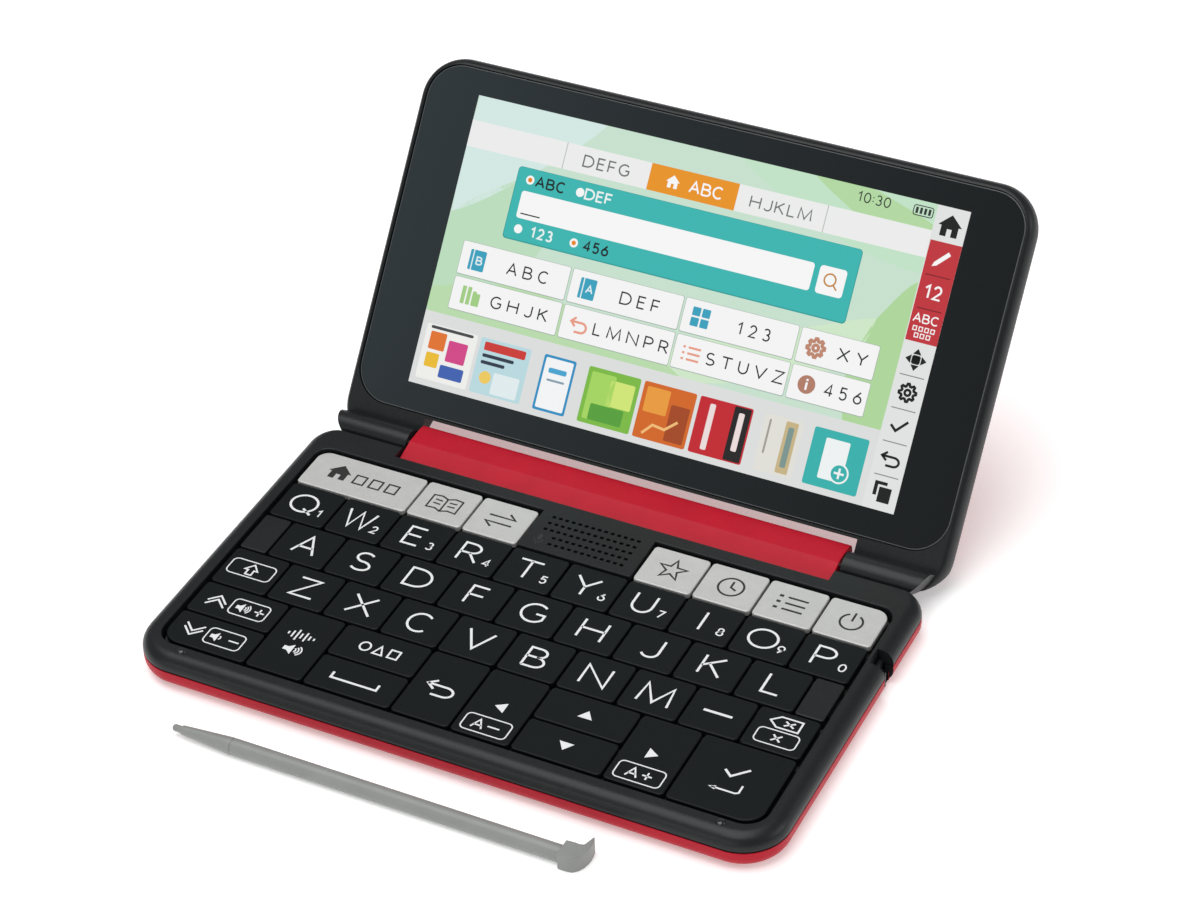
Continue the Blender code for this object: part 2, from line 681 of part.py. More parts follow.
# Inside the base
def add_key_mat(keys):
    """The rubber mat under the keys, with a guide hole for each stem and a relief over the bore."""
    low = (-MAT_SIDE, MAT_FRONT, MAT_BOTTOM)
    high = (MAT_SIDE, MAT_BACK, MAT_TOP)
    shape = rounded_block(low, high, field_radii(WELL_MARGIN - MAT_EDGE_GAP))
    mat = add_part("key_mat", shape, RUBBER_LOOK)
    holes = bmesh.new()
    half = STEM_WIDTH / 2 + FIT_GAP
    for key in keys:
        x, y = key.location.xy
        low = (x - half, y - half, MAT_BOTTOM - EMBED)
        add_box(holes, low, (x + half, y + half, MAT_TOP + EMBED))
    cut(mat, add_cutter("stem_holes", holes))
    low = (field_x(PANEL_SPAN_SHARES[0]) - FIT_GAP, FUNCTION_ROW_FRONT - FIT_GAP, MAT_BOTTOM - EMBED)
    high = (field_x(PANEL_SPAN_SHARES[1]) + FIT_GAP, MAT_BACK + OVERRUN, MAT_TOP + EMBED)
    cut(mat, add_cutter("speaker_clearance", box(low, high)))
    low = (BORE_END_X - BORE_RIB, BORE_FRONT + FIT_GAP, MAT_BOTTOM - EMBED)
    high = (MAT_SIDE + OVERRUN, BORE_BACK - FIT_GAP, BORE_ROOF)
    cut(mat, add_cutter("bore_relief", box(low, high)))
    return mat


def add_main_board():
    low = (-BOARD_SIDE, BOARD_FRONT, BOARD_BOTTOM)
    return add_part("main_board", box(low, (BOARD_SIDE, BOARD_BACK, BOARD_TOP)), BOARD_LOOK)


def add_battery():
    low = (-BATTERY_SIDE, BATTERY_FRONT, RESTING_HEIGHT)
    high = (BATTERY_SIDE, BATTERY_BACK, BOARD_TOP)
    shape = rounded_block(low, high, [CAP_CORNER_RADIUS] * 4, corner_segments=1)
    return add_part("battery_pack", shape, BATTERY_LOOK)


def add_speaker():
    """A round speaker on the floor, close under the slots of its panel."""
    centre = (0, (SPEAKER_FRONT + SPEAKER_BACK) / 2)
    radius = (SPEAKER_BACK - SPEAKER_FRONT) / 2
    shape = cylinder(radius, RESTING_HEIGHT, PANEL_BOTTOM - FIT_GAP, centre)
    return add_part("speaker", shape, SPEAKER_LOOK)


# Hinge
def add_hinge_bar():
    """The red bar between the knuckles: a flange in the rim's seat and a block that holds the shaft."""
    front = CASE_BACK - BAR_FRONT_OVERLAP
    wall = CASE_BACK + FIT_GAP
    seat = BAR_SEAT_HEIGHT + FIT_GAP
    back = HINGE_Y + BAR_REACH
    outline = [
        (front, seat),
        (front, seat + BAR_NOSE_HEIGHT),
        (front + BAR_NOSE_SETBACK, BASE_HEIGHT - BAR_REAR_SETBACK / 2),
        (front + 2 * BAR_NOSE_SETBACK, BASE_HEIGHT),
        (CASE_BACK, BASE_HEIGHT),
        (HINGE_Y, BASE_HEIGHT - BAR_REAR_DROP / 2),
        (back - 2 * BAR_REAR_SETBACK, BASE_HEIGHT - BAR_REAR_DROP),
        (back - BAR_REAR_SETBACK / 2, BASE_HEIGHT - 2 * BAR_REAR_DROP),
        (back, HINGE_HEIGHT - BAR_REAR_SETBACK),
        (back, BAR_FOOT_RISE),
        (back - BAR_FOOT_SETBACK / 3, BAR_FOOT_RISE / 3),
        (back - BAR_FOOT_SETBACK, 0),
        (wall, 0),
        (wall, seat),
    ]
    shape = prism(outline, -BAR_HALF_LENGTH, BAR_HALF_LENGTH)
    bar = add_part("hinge_bar", shape, RED_LOOK)
    reach = BAR_HALF_LENGTH + OVERRUN
    bore = cylinder(SHAFT_RADIUS + FIT_GAP, -reach, reach, HINGE_CENTRE_ABOUT_X, axis="X")
    cut(bar, add_cutter("hinge_bar_bore", bore))
    return bar


def add_hinge_shaft():
    reach = SLOT_HALF_LENGTH + SHAFT_ENGAGEMENT
    shape = cylinder(SHAFT_RADIUS, -reach, reach, HINGE_CENTRE_ABOUT_X, axis="X")
    return add_part("hinge_shaft", shape, STEEL_LOOK)


# Lid
def add_lid_pivot():
    pivot = bpy.data.objects.new("lid_pivot", None)
    PARTS.objects.link(pivot)
    pivot.location = (0, HINGE_Y, HINGE_HEIGHT)
    pivot.rotation_euler = (-LID_OPENING, 0, 0)
    return pivot


def hang_on(pivot, item):
    """Hangs a piece, modelled as it lies when the lid is shut, on the lid's pivot."""
    item.parent = pivot
    item.location = (0, -HINGE_Y, -HINGE_HEIGHT)
    return item


def back_tangent():
    """Angle of the line that touches the knuckle's circle and the heel's circle on the lid's back."""
    span = HEEL_CENTRE - HINGE_CENTRE
    lean = math.acos((HINGE_RADIUS - LID_HEEL_RADIUS) / span.length)
    return math.atan2(span.y, span.x) - lean


def profile_outline():
    """All that lies outside the lid's side profile: below its rim, round its knuckle and behind it."""
    fill = Vector((SLOT_EDGE_Y + KNUCKLE_FILL_SETBACK, LID_RIM))
    span = HINGE_CENTRE - fill
    lean = math.asin(HINGE_RADIUS / span.length)
    front = math.atan2(span.y, span.x) - lean - math.pi / 2
    nose = arc(HINGE_CENTRE, HINGE_RADIUS, front, back_tangent(), 2 * ARC_STEPS)
    heel = arc(HEEL_CENTRE, LID_HEEL_RADIUS, back_tangent(), math.pi / 2)
    last = Vector(heel[-1])
    crest = last + OVERRUN * (last - Vector(heel[-2])).normalized()
    before = CASE_FRONT - OVERRUN
    beyond = OBJECT_BACK + OVERRUN
    above = LID_BACK + OVERRUN
    start = [(before, -OVERRUN), (before, LID_RIM), tuple(fill)]
    return [*start, *nose, *heel, tuple(crest), (crest.x, above), (beyond, above), (beyond, -OVERRUN)]


def slot_outline():
    """What the middle of the lid loses: all behind its slot edge and beyond its full round heel."""
    start = back_tangent() - back_tangent() / ARC_STEPS
    outward = Vector((math.cos(start), math.sin(start)))
    above = HEEL_CENTRE + (LID_HEEL_RADIUS + OVERRUN) * outward
    heel = arc(HEEL_CENTRE, LID_HEEL_RADIUS, start, 0)
    beyond = OBJECT_BACK + 2 * OVERRUN
    low = -2 * OVERRUN
    return [tuple(above), *heel, (SLOT_EDGE_Y, low), (beyond, low), (beyond, above.y)]


def lid_tools(pivot):
    """The cutters that shape both the frame and the back cover."""
    reach = HALF_WIDTH + OVERRUN
    profile = add_cutter("lid_profile", prism(profile_outline(), -reach, reach))
    slot = add_cutter("lid_slot", prism(slot_outline(), -SLOT_HALF_LENGTH, SLOT_HALF_LENGTH))
    return [hang_on(pivot, profile), hang_on(pivot, slot)]


def lid_block(bottom):
    low = (-HALF_WIDTH, CASE_FRONT, bottom)
    high = (HALF_WIDTH, OBJECT_BACK, LID_BACK)
    return rounded_block(low, high, [PLAN_CORNER_RADIUS] * 4, top=LID_BACK_ROUND)


def add_lid_frame(pivot, tools):
    """The black front of the lid: the rim round the glass, the window behind it and both knuckles."""
    shape = lid_block(HINGE_HEIGHT - HINGE_RADIUS - EMBED)
    frame = hang_on(pivot, add_part("lid_frame", shape, BLACK_PLASTIC_LOOK))
    for tool in tools:
        cut(frame, tool)
    behind = box(
        (-HALF_WIDTH - OVERRUN, CASE_FRONT - OVERRUN, FRAME_BACK),
        (HALF_WIDTH + OVERRUN, OBJECT_BACK + OVERRUN, LID_BACK + OVERRUN),
    )
    cut(frame, hang_on(pivot, add_cutter("frame_back_plane", behind)))
    pocket = rounded_block(
        (-GLASS_SIDE - FIT_GAP, GLASS_TOP_Y - FIT_GAP, LID_RIM - OVERRUN),
        (GLASS_SIDE + FIT_GAP, GLASS_BOTTOM_Y + FIT_GAP, MODULE_FRONT),
        [GLASS_CORNER_RADIUS + FIT_GAP] * 4,
    )
    cut(frame, hang_on(pivot, add_cutter("glass_pocket", pocket)))
    window = box(
        (-MODULE_SIDE - FIT_GAP, MODULE_TOP_Y - FIT_GAP, LID_RIM - OVERRUN),
        (MODULE_SIDE + FIT_GAP, MODULE_BOTTOM_Y + FIT_GAP, LID_BACK + OVERRUN),
    )
    cut(frame, hang_on(pivot, add_cutter("module_window", window)))
    for side in (-1, 1):
        ends = sorted(
            (
                side * (SLOT_HALF_LENGTH - EMBED),
                side * (SLOT_HALF_LENGTH + SHAFT_ENGAGEMENT + FIT_GAP),
            )
        )
        bore = cylinder(SHAFT_RADIUS + FIT_GAP, *ends, HINGE_CENTRE_ABOUT_X, axis="X")
        cut(frame, hang_on(pivot, add_cutter(f"knuckle_bore_{side}", bore)))
    return frame


def add_back_cover(pivot, tools):
    """The red back of the lid, a shallow rounded dish behind the frame."""
    cover = hang_on(pivot, add_part("lid_back_cover", lid_block(LID_RIM), RED_LOOK))
    for tool in tools:
        cut(cover, tool)
    before = box(
        (-HALF_WIDTH - OVERRUN, CASE_FRONT - OVERRUN, -OVERRUN),
        (HALF_WIDTH + OVERRUN, OBJECT_BACK + OVERRUN, COVER_FRONT),
    )
    cut(cover, hang_on(pivot, add_cutter("cover_front_plane", before)))
    dish = box(
        (-HALF_WIDTH + COVER_POCKET_INSET, CASE_FRONT + COVER_POCKET_INSET, -OVERRUN),
        (HALF_WIDTH - COVER_POCKET_INSET, SLOT_EDGE_Y - COVER_POCKET_INSET, LID_BACK - COVER_WALL),
    )
    cut(cover, hang_on(pivot, add_cutter("cover_dish", dish)))
    return cover


def add_touch_panel(pivot):
    low = (-GLASS_SIDE, GLASS_TOP_Y, GLASS_FRONT)
    high = (GLASS_SIDE, GLASS_BOTTOM_Y, GLASS_BACK)
    shape = rounded_block(low, high, [GLASS_CORNER_RADIUS] * 4)
    return hang_on(pivot, add_part("touch_panel", shape, GLASS_LOOK))


def add_display_module(pivot):
    low = (-MODULE_SIDE, MODULE_TOP_Y, MODULE_FRONT)
    high = (MODULE_SIDE, MODULE_BOTTOM_Y, MODULE_FRONT + MODULE_THICKNESS)
    return hang_on(pivot, add_part("display_module", box(low, high), PANEL_LOOK))


# Stylus
def stylus_profile():
    """Radius and distance from the tip, from the head end down the outer side to the tip."""
    cone_end = NIB_LENGTH + CONE_LENGTH
    groove_radius = STYLUS_RADIUS - GROOVE_DEPTH
    return [
        (0, STYLUS_LENGTH),
        (STYLUS_RADIUS, STYLUS_LENGTH),
        (STYLUS_RADIUS, cone_end + GROOVE_WIDTH),
        (groove_radius, cone_end + GROOVE_WIDTH),
        (groove_radius, cone_end),
        (STYLUS_RADIUS, cone_end),
        (CONE_TIP_RADIUS, NIB_LENGTH),
        (NIB_RADIUS, NIB_LENGTH),
        (NIB_RADIUS, NIB_RADIUS),
        (NIB_RADIUS * math.cos(math.pi / 4), NIB_RADIUS * (1 - math.sin(math.pi / 4))),
        (0, 0),
    ]


def stylus_head():
    """The hooked head, an upright block of this outline whose fin points to the back."""
    start = STYLUS_LENGTH - EMBED
    front = -HEAD_FRONT_SHARE * HEAD_WIDTH
    outline = [
        (start + along * HEAD_LENGTH, front + across * HEAD_WIDTH)
        for along, across in HEAD_OUTLINE_SHARES
    ]
    shape = bmesh.new()
    corners = [shape.verts.new((x, y, -STYLUS_RADIUS)) for x, y in outline]
    face = shape.faces.new(corners)
    drawn = bmesh.ops.extrude_face_region(shape, geom=[face])
    moved = [v for v in drawn["geom"] if isinstance(v, bmesh.types.BMVert)]
    bmesh.ops.translate(shape, verts=moved, vec=(0, 0, HEAD_HEIGHT))
    bmesh.ops.recalc_face_normals(shape, faces=shape.faces)
    return shape


def turn_profile(item, steps):
    """Turns a profile, which runs from top to bottom at the side of +X, about Z into a solid."""
    screw = item.modifiers.new("turned profile", "SCREW")
    screw.steps = steps
    screw.render_steps = steps
    screw.use_merge_vertices = True
    screw.merge_threshold = TOUCHING
    screw.use_smooth_shade = True


def add_stylus():
    """Lies along X on the surface before the base, with its tip to the left."""
    shape = bmesh.new()
    points = [shape.verts.new((radius, 0, along)) for radius, along in stylus_profile()]
    for first, second in zip(points, points[1:]):
        shape.edges.new((first, second))
    place = (STYLUS_TIP_X, CASE_FRONT - STYLUS_FRONT_GAP, STYLUS_RADIUS)
    stylus = add_part("stylus", shape, STYLUS_LOOK, place)
    stylus.rotation_euler = (0, math.pi / 2, 0)
    turn_profile(stylus, ROUND_SIDES)
    head = add_cutter("stylus_head", stylus_head())
    head.location = place
    join(stylus, head)
    return stylus


def build():
    notch = stylus_notch()
    keys = add_keys()
    add_upper_case(notch)
    add_lower_case(notch)
    add_key_mat(keys)
    add_main_board()
    add_battery()
    add_speaker()
    add_hinge_bar()
    add_hinge_shaft()
    pivot = add_lid_pivot()
    tools = lid_tools(pivot)
    add_lid_frame(pivot, tools)
    add_back_cover(pivot, tools)
    add_touch_panel(pivot)
    add_display_module(pivot)
    add_stylus()


build()
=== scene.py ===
"""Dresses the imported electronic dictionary: cases, keys, hinge, lid, lit screen and stylus.

X runs along the hinge, Y from the front edge to the hinge and Z up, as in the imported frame.
Sizes here are in millimetres, and a finished mesh is scaled to metres. Lid pieces are drawn as
they lie in the shut lid, over the keys, and are then opened about the hinge.
"""

import json
import math

import bmesh
import bpy
from mathutils import Matrix, Vector


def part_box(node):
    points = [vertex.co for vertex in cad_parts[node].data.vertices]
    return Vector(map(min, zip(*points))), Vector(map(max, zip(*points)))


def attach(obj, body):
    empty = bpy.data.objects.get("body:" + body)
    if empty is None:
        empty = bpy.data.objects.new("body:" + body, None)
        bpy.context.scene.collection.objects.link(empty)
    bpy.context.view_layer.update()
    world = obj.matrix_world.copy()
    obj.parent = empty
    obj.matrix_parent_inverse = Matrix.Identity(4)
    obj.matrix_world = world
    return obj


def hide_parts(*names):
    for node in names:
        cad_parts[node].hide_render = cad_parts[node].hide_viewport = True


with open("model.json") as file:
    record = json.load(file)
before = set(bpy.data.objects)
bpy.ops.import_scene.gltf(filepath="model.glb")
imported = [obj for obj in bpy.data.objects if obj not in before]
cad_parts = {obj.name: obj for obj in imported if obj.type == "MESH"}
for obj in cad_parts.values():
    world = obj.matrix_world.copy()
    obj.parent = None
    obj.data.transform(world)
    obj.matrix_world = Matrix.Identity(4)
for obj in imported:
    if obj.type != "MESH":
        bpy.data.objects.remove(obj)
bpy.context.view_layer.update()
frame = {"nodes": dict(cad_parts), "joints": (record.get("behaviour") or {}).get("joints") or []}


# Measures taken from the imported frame
def cad_box(node):
    low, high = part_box(node)
    return low * 1000, high * 1000


def joint(name):
    return next(j for j in frame["joints"] if j["name"] == name)


BAR_LOW, BAR_HIGH = cad_box("hinge_bar")
STYLUS_LOW = cad_box("stylus")[0]
HINGE_Y, HINGE_Z = (1000 * place for place in joint("lid_hinge")["pos_m"][1:])
LID_OPENING = -joint("lid_hinge")["range_deg"][0]

# Base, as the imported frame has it
HALF_WIDTH = 76.3
CASE_FRONT = -46.95
CASE_BACK = 39.55
CASE_TOP = 8.9
PLAN_RADIUS = 10.5
CASE_RADII = (10.5, 10.5, 6.0, 6.0)
RING_BOTTOM = 5.4
PARTING = 5.1
WELL_SIDE = 71.8
WELL_FRONT = -41.65
WELL_BACK = 31.55
KEY_TOP = 8.6
CAP_BOTTOM = 7.2
PANEL_SIDE = 13.94
PANEL_FRONT = 18.28
HOME_ROW = (-7.31, 5.35)
BLANKS = ((-70.82, -64.27), (64.27, 70.82))
NOTCH_X = 72.6
NOTCH_Y = (13.5, 18.4)

# Lid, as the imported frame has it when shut
LID_RIM = 9.7
FRAME_BACK = 14.9
COVER_FRONT = 15.2
LID_BACK = 17.2
LID_END = 46.95
SLOT_EDGE_Y = 37.05
SLOT_SIDE = 54.6
HEEL_RADIUS = 5.0
HEEL_CENTRE = Vector((32.05, 12.2))
KNUCKLE_RADIUS = 3.5
HINGE_CENTRE = Vector((HINGE_Y, HINGE_Z))
GLASS_SIDE = 74.3
GLASS_TOP = -45.15
GLASS_BOTTOM = 36.25
GLASS_FRONT = 10.0
GLASS_BACK = 11.0
GLASS_RADIUS = 8.5

OVERRUN = 5.0
TINY = 0.01
FLOOR_REACH = 3e3
FLOOR_DROP = 0.02


# Meshes
def plan_ring(low, high, radii, side, back, height, segments):
    """Points at one height round a plan with rounded corners, from its front left corner onwards."""
    corners = (
        (low[0], low[1], 1, 1, 180),
        (high[0], low[1], -1, 1, 270),
        (high[0], high[1], -1, -1, 0),
        (low[0], high[1], 1, -1, 90),
    )
    points = []
    for index, (x, y, inward_x, inward_y, start) in enumerate(corners):
        radius = radii[index]
        end = back if index > 1 else side
        for step in range(segments + 1):
            turn = math.radians(start + 90 * step / segments)
            across = x + inward_x * radius + (radius - side) * math.cos(turn)
            along = y + inward_y * radius + (radius - end) * math.sin(turn)
            points.append((across, along, height))
    return points


def add_stack(shape, rings):
    """Skins rings of points from the lowest to the highest, and closes both ends."""
    loops = [[shape.verts.new(point) for point in ring] for ring in rings]
    for lower, upper in zip(loops, loops[1:]):
        for index in range(len(lower)):
            after = (index + 1) % len(lower)
            shape.faces.new((lower[index], lower[after], upper[after], upper[index]))
    shape.faces.new(list(reversed(loops[0])))
    shape.faces.new(loops[-1])


def add_block(shape, low, high, radii, levels, segments=10):
    """A rounded plan at several levels: inset of the front and sides, inset of the back, height."""
    rings = [plan_ring(low, high, radii, *level, segments) for level in levels]
    add_stack(shape, rings)
    return shape


def block(low, high, radii, levels, segments=10):
    return add_block(bmesh.new(), low, high, radii, levels, segments)


def box(low, high):
    flat = [(0, 0, low[2]), (0, 0, high[2])]
    return block(low, high, [TINY] * 4, flat, 1)


def rounded_top(width, height, top, back=None, steps=6):
    """Levels of an edge that rounds over to a flat top."""
    back = width if back is None else back
    levels = []
    for step in range(steps + 1):
        turn = math.pi / 2 * step / steps
        narrowing = 1 - math.cos(turn)
        levels.append((width * narrowing, back * narrowing, top - height * (1 - math.sin(turn))))
    return levels


def rounded_foot(width, height, bottom, steps=6):
    """Levels of an edge that rounds out from a flat underside."""
    levels = rounded_top(width, height, 0, steps=steps)
    return [(side, back, bottom - level) for side, back, level in reversed(levels)]


def prism(outline, left, right):
    """An outline of (y, z) points, listed either way round, drawn out along X."""
    shape = bmesh.new()
    ends = [[shape.verts.new((x, y, z)) for y, z in outline] for x in (left, right)]
    shape.faces.new(ends[0])
    shape.faces.new(ends[1])
    for index in range(len(outline)):
        after = (index + 1) % len(outline)
        shape.faces.new((ends[0][index], ends[0][after], ends[1][after], ends[1][index]))
    bmesh.ops.recalc_face_normals(shape, faces=shape.faces)
    return shape


def turned(profile, sides=48):
    """A (radius, distance) profile turned about X, from a pole at its start to a pole at its end."""
    shape = bmesh.new()
    poles = [shape.verts.new((profile[0][1], 0, 0)), shape.verts.new((profile[-1][1], 0, 0))]
    rings = []
    for radius, along in profile[1:-1]:
        turns = [2 * math.pi * side / sides for side in range(sides)]
        ring = [(along, radius * math.cos(t), radius * math.sin(t)) for t in turns]
        rings.append([shape.verts.new(point) for point in ring])
    for first, second in zip(rings, rings[1:]):
        for index in range(sides):
            after = (index + 1) % sides
            shape.faces.new((first[index], first[after], second[after], second[index]))
    for pole, ring in zip(poles, (rings[0], rings[-1])):
        for index in range(sides):
            shape.faces.new((pole, ring[index], ring[(index + 1) % sides]))
    bmesh.ops.recalc_face_normals(shape, faces=shape.faces)
    return shape


def arc(centre, radius, start, end, steps):
    """Points on a circle from one angle to another, in radians from +Y towards +Z."""
    turns = [start + (end - start) * step / steps for step in range(steps + 1)]
    return [(centre[0] + radius * math.cos(t), centre[1] + radius * math.sin(t)) for t in turns]


def object_of(name, shape):
    mesh = bpy.data.meshes.new(name)
    shape.to_mesh(mesh)
    shape.free()
    item = bpy.data.objects.new(name, mesh)
    bpy.context.scene.collection.objects.link(item)
    return item


def settle(item):
    """Makes an object's modifiers part of its mesh."""
    graph = bpy.context.evaluated_depsgraph_get()
    graph.update()
    before = item.data
    item.data = bpy.data.meshes.new_from_object(item.evaluated_get(graph))
    item.modifiers.clear()
    bpy.data.meshes.remove(before)


def carve(item, tools, operation="DIFFERENCE"):
    """Cuts tool shapes out of a piece, or joins them to it."""
    helpers = []
    for tool in tools:
        helper = tool if isinstance(tool, bpy.types.Object) else object_of("tool", tool)
        modifier = item.modifiers.new("carving", "BOOLEAN")
        modifier.operation = operation
        modifier.solver = "EXACT"
        modifier.object = helper
        helpers.append(helper)
    settle(item)
    for helper in helpers:
        bpy.data.objects.remove(helper)


def soften(item, width, chosen, segments=3):
    """Rounds the edges that turn sharply, each by the share of the width that chosen gives it."""
    shape = bmesh.new()
    shape.from_mesh(item.data)
    layer = shape.edges.layers.float.new("bevel_weight_edge")
    for edge in shape.edges:
        if len(edge.link_faces) == 2 and edge.calc_face_angle(0) > math.radians(32):
            edge[layer] = chosen(edge.verts[0].co, edge.verts[1].co)
    shape.to_mesh(item.data)
    shape.free()
    modifier = item.modifiers.new("softened edges", "BEVEL")
    modifier.limit_method = "WEIGHT"
    modifier.width = width
    modifier.segments = segments
    modifier.miter_outer = "MITER_ARC"
    settle(item)


def set_finishes(mesh, finishes):
    """Gives a mesh its materials and keeps which of them each face has."""
    chosen = [min(face.material_index, len(finishes) - 1) for face in mesh.polygons]
    mesh.materials.clear()
    for finish in finishes:
        mesh.materials.append(finish)
    mesh.polygons.foreach_set("material_index", chosen)


def finish_piece(item, body, finishes, replaced=(), place=None):
    """Scales a piece to metres, shades it and hands it to its body."""
    item.data.transform(Matrix.Scale(0.001, 4) @ (place or Matrix.Identity(4)))
    set_finishes(item.data, finishes)
    item.data.shade_smooth()
    item.data.set_sharp_from_angle(angle=math.radians(35))
    modifier = item.modifiers.new("even shading", "WEIGHTED_NORMAL")
    modifier.keep_sharp = True
    settle(item)
    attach(item, body)
    if replaced:
        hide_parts(*replaced)
    return item


HINGE_PLACE = Matrix.Translation((0, HINGE_Y, HINGE_Z))
LID_OPEN = HINGE_PLACE @ Matrix.Rotation(-math.radians(LID_OPENING), 4, "X") @ HINGE_PLACE.inverted()


# Node trees
class Wire:
    """An output of a node. Arithmetic on it adds Math nodes to its tree."""

    def __init__(self, graph, socket):
        self.graph = graph
        self.socket = socket

    def maths(self, operation, first, second):
        return self.graph.node("ShaderNodeMath", {"operation": operation}, {0: first, 1: second})

    def __add__(self, other):
        return self.maths("ADD", self, other)

    def __radd__(self, other):
        return self.maths("ADD", other, self)

    def __sub__(self, other):
        return self.maths("SUBTRACT", self, other)

    def __rsub__(self, other):
        return self.maths("SUBTRACT", other, self)

    def __mul__(self, other):
        return self.maths("MULTIPLY", self, other)

    def __rmul__(self, other):
        return self.maths("MULTIPLY", other, self)

    def __gt__(self, other):
        return self.maths("GREATER_THAN", self, other)

    def __mod__(self, other):
        return self.maths("PINGPONG", self, other)


class Graph:
    """A node tree, written node by node."""

    def __init__(self, tree):
        self.tree = tree

    def node(self, kind, settings=None, inputs=None, output=0):
        """Adds a node: its settings first, then values or links for its sockets."""
        node = self.tree.nodes.new(kind)
        for name, value in (settings or {}).items():
            if name == "stops":
                self.set_stops(node.color_ramp, value)
            else:
                setattr(node, name, value)
        for name, value in (inputs or {}).items():
            self.feed(node.inputs[name], value)
        return Wire(self, node.outputs[output])

    def set_stops(self, ramp, stops):
        while len(ramp.elements) < len(stops):
            ramp.elements.new(0.5)
        for element, (place, colour) in zip(ramp.elements, stops):
            element.position = place
            element.color = (*colour, 1.0)

    def feed(self, socket, value):
        if isinstance(value, Wire):
            self.tree.links.new(value.socket, socket)
        else:
            socket.default_value = value


class Finish(Graph):
    """A material: even values sit on the shader, varied ones reach it through nodes."""

    def __init__(self, name, even):
        self.material = bpy.data.materials.new(name)
        self.material.use_nodes = True
        super().__init__(self.material.node_tree)
        self.shader = self.tree.nodes["Principled BSDF"]
        for socket, value in even.items():
            self.shader.inputs[socket].default_value = value

    def millimetres(self, stretch=(1, 1, 1), turn=(0, 0, 0)):
        """The place on the piece, in millimetres."""
        place = self.node("ShaderNodeTexCoord", output="Object")
        scale = [1000 * part for part in stretch]
        return self.node("ShaderNodeMapping", {}, {"Vector": place, "Scale": scale, "Rotation": turn})

    def noise(self, place, scale, detail=2.0, roughness=0.5):
        sockets = {"Vector": place, "Scale": scale, "Detail": detail, "Roughness": roughness}
        return self.node("ShaderNodeTexNoise", {}, sockets, "Fac")

    def mix(self, share, first, second):
        return self.node("ShaderNodeMix", {"data_type": "RGBA"}, {0: share, 6: first, 7: second}, 2)

    def ramp(self, share, stops):
        return self.node("ShaderNodeValToRGB", {"stops": stops}, {0: share})

    def bump(self, height, depth, strength=1.0):
        """Raises the surface by up to a depth in millimetres."""
        sockets = {"Height": height, "Distance": depth / 1000, "Strength": strength}
        self.feed(self.shader.inputs["Normal"], self.node("ShaderNodeBump", {}, sockets))

    def vary(self, **values):
        for name, value in values.items():
            self.feed(self.shader.inputs[name.replace("_", " ").title()], value)


def shade(colour, share):
    return (*[part * share for part in colour], 1.0)


def moulded(name, colour, roughness, grain, depth, specular=0.5, metallic=0.0):
    """Moulded plastic with a fine grain, cloudy changes of shade and a sheen that they break up."""
    even = {"Specular IOR Level": specular, "Metallic": metallic}
    finish = Finish(name, even)
    place = finish.millimetres()
    fine = finish.noise(place, grain, 3.0, 0.65)
    cloud = finish.noise(place, 0.11, 2.0)
    smudge = finish.noise(place, 0.6, 4.0, 0.7)
    finish.vary(
        base_color=finish.mix(cloud * 0.6 + fine * 0.4, shade(colour, 0.78), shade(colour, 1.22)),
        roughness=roughness + (fine - 0.5) * 0.16 + (smudge - 0.5) * 0.1,
    )
    finish.bump(fine, depth)
    return finish.material


def speckled_black():
    """The case's black plastic, with light specks painted into its colour as painted glints where its
    spark-eroded grain catches the light.
    """
    colour = (0.0085, 0.0100, 0.0110)
    finish = Finish("grained_black", {"Specular IOR Level": 0.26})
    place = finish.millimetres()
    fine = finish.noise(place, 3.2, 3.0, 0.7)
    cloud = finish.noise(place, 0.09, 2.0)
    cells = finish.node("ShaderNodeTexVoronoi", {}, {"Vector": place, "Scale": 3.6}, "Distance")
    # painted glints: lighter specks in the base colour stand in for the grain catching the light
    painted_glint_specks = finish.ramp(cells, [(0.10, (1, 1, 1)), (0.30, (0, 0, 0))])
    ground = finish.mix(cloud, shade(colour, 0.85), shade(colour, 1.2))
    finish.vary(
        base_color=finish.mix(painted_glint_specks, ground, shade((0.030, 0.029, 0.028), 1)),
        roughness=0.36 + (fine - 0.5) * 0.2 + (cloud - 0.5) * 0.06,
    )
    finish.bump(fine, 0.016)
    return finish.material


def key_black():
    """Satin keys, a little polished by fingers in broad patches."""
    colour = (0.0050, 0.0068, 0.0076)
    finish = Finish("satin_key_black", {"Specular IOR Level": 0.14})
    place = finish.millimetres()
    fine = finish.noise(place, 5.0, 2.0, 0.6)
    touch = finish.noise(place, 0.16, 3.0, 0.6)
    finish.vary(
        base_color=finish.mix(touch, shade(colour, 0.85), shade(colour, 1.25)),
        roughness=0.36 + (fine - 0.5) * 0.14 - (touch - 0.5) * 0.12,
    )
    finish.bump(fine, 0.006)
    return finish.material


def silver_paint():
    """Silver paint: fine metal flakes under a satin lacquer."""
    finish = Finish("silver_key_paint", {"Metallic": 0.2, "Coat Weight": 0.1, "Coat Roughness": 0.3})
    place = finish.millimetres()
    flakes = finish.node("ShaderNodeTexVoronoi", {}, {"Vector": place, "Scale": 9.0}, "Color")
    tone = finish.node("ShaderNodeSeparateColor", {}, {"Color": flakes})
    cloud = finish.noise(place, 0.25, 2.0)
    finish.vary(
        base_color=finish.mix(tone * 0.5 + cloud * 0.5, (0.46, 0.46, 0.455, 1), (0.60, 0.60, 0.59, 1)),
        roughness=0.36 + (tone - 0.5) * 0.16,
    )
    finish.bump(tone, 0.004)
    return finish.material


def printed(name, colour):
    """Pad-printed ink, slightly thinner here and there."""
    finish = Finish(name, {"Roughness": 0.5})
    place = finish.millimetres()
    ink = finish.noise(place, 2.6, 4.0, 0.7)
    finish.vary(base_color=finish.mix(ink, shade(colour, 0.86), shade(colour, 1.0)))
    finish.bump(ink, 0.004)
    return finish.material


